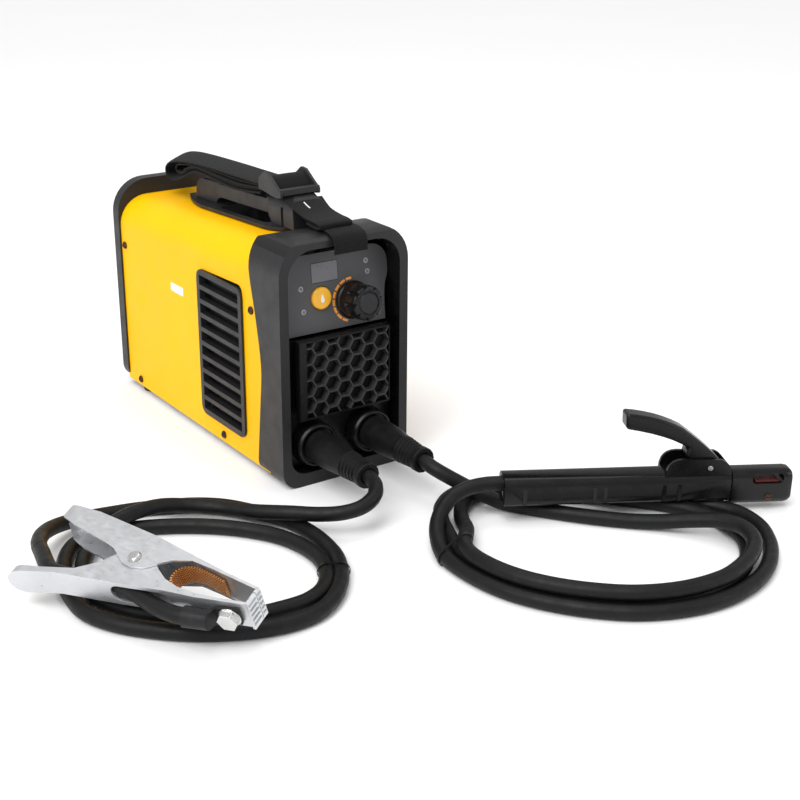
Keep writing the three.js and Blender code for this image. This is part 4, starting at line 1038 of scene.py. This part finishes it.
def nose_ridges():
    """Pressed ridges across the lips that bite on the work."""
    for name, low, high, body in (("lower", -9.4, -1.0, "machine"),
                                  ("upper", 0.9, 4.6, "clamp_upper_jaw_body")):
        for i, z in enumerate((-8.4, -4.2, 0, 4.2, 8.4)):
            bm = bmesh.new()
            block(bm, (94.55, low, z - 1.1), (95.85, high, z + 1.1))
            bmesh.ops.bevel(bm, geom=list(bm.edges), offset=0.5 * MM, segments=2, affect="EDGES")
            from_bmesh(f"{name}_lip_ridge_{i + 1}", bm, "zinc", CLAMP, body)


def across_the_hinge(piece):
    """Bakes a piece's place into its mesh."""
    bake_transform(piece)


def dress_clamp():
    """Dresses the clamp and returns its lug."""
    refine("clamp_lower_jaw", "zinc", 0.35, 40, 2, round_end(-82.7, 10.7))
    refine("clamp_upper_jaw", "zinc", 0.35, 40, 2, round_end(-80.3, 12.5))
    nose_ridges()
    refine("clamp_rivet", "bolt", 0.3)
    refine("clamp_bolt", "bolt", 0.35, 40, 2)
    across_the_hinge(refine("clamp_spring", "bolt", 0, ride=False))
    return refine("cable_lug", "sleeve", 0.5, 35, 2)


def braid():
    """Copper braid in a loop behind the jaws: the ribbon's (x, y, z) are the clamp's (z, x, y)."""
    path = [(68, -10.2), (56, -12), (46, -12.4), (36, -9.5), (30.5, -4), (30.5, 3), (36, 8),
            (46, 9), (56, 7.2), (66, 5.2)]
    turn = Matrix(((0, 1, 0, 0), (0, 0, 1, 0), (1, 0, 0, 0), (0, 0, 0, 1)))
    piece = ribbon("copper_braid_woven", path, -7, 7, 2.2, "braid", None, place=CLAMP @ turn)
    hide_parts("copper_braid")
    across_the_hinge(piece)


# ---------------------------------------------------------------- light and floor
FLOOR_REACH = 16      # half the floor's width, in metres
AMBIENT, SUN_ENERGY, SUN_SPREAD = 0.62, 1.5, math.radians(35)


def lamp_facing(name, data, direction):
    lamp = bpy.data.objects.new(name, data)
    SCENE.collection.objects.link(lamp)
    lamp.rotation_euler = direction.to_track_quat("-Z", "Y").to_euler()
    return lamp


def area_light(name, place, aim, energy, size):
    data = bpy.data.lights.new(name, "AREA")
    data.energy = energy
    data.size = size
    lamp_facing(name, data, Vector(aim) - Vector(place)).location = place


def studio():
    bm = bmesh.new()
    bmesh.ops.create_grid(bm, x_segments=1, y_segments=1, size=FLOOR_REACH)
    mesh = bpy.data.meshes.new("studio_floor")
    bm.to_mesh(mesh)
    bm.free()
    floor = bpy.data.objects.new("studio_floor", mesh)
    SCENE.collection.objects.link(floor)
    m = Shader("pale_floor", (0.93, 0.93, 0.93), 0.75)
    m.colour(m.mix_colour(m.noise(0.4, 2.0), (0.92, 0.92, 0.92), (0.94, 0.94, 0.94)))
    mesh.materials.append(m.material)
    world = bpy.data.worlds.new("studio")
    world.use_nodes = True
    background = world.node_tree.nodes["Background"].inputs
    background["Color"].default_value = (1, 1, 1, 1)
    background["Strength"].default_value = AMBIENT
    SCENE.world = world
    sun = bpy.data.lights.new("soft_daylight", "SUN")
    sun.energy = SUN_ENERGY
    sun.angle = SUN_SPREAD
    lamp_facing("soft_daylight", sun, Vector((0.55, 0.35, -1.0)))
    area_light("key", (-1.4, -0.5, 1.1), (0, 0, 0.1), 10, 0.9)
    area_light("top", (0.2, 0.3, 2.0), (0, 0, 0.1), 9, 1.2)
    area_light("fill", (1.3, -1.6, 1.0), (0.05, -0.1, 0.1), 5, 0.9)
    SCENE.view_settings.view_transform = "Standard"


make_camera()
make_cables(make_boots(), dress_clamp(), dress_holder())
dress_machine()
panel_marks()
shade_sheets_behind_grilles()
side_sticker()
strap()
braid()
studio()
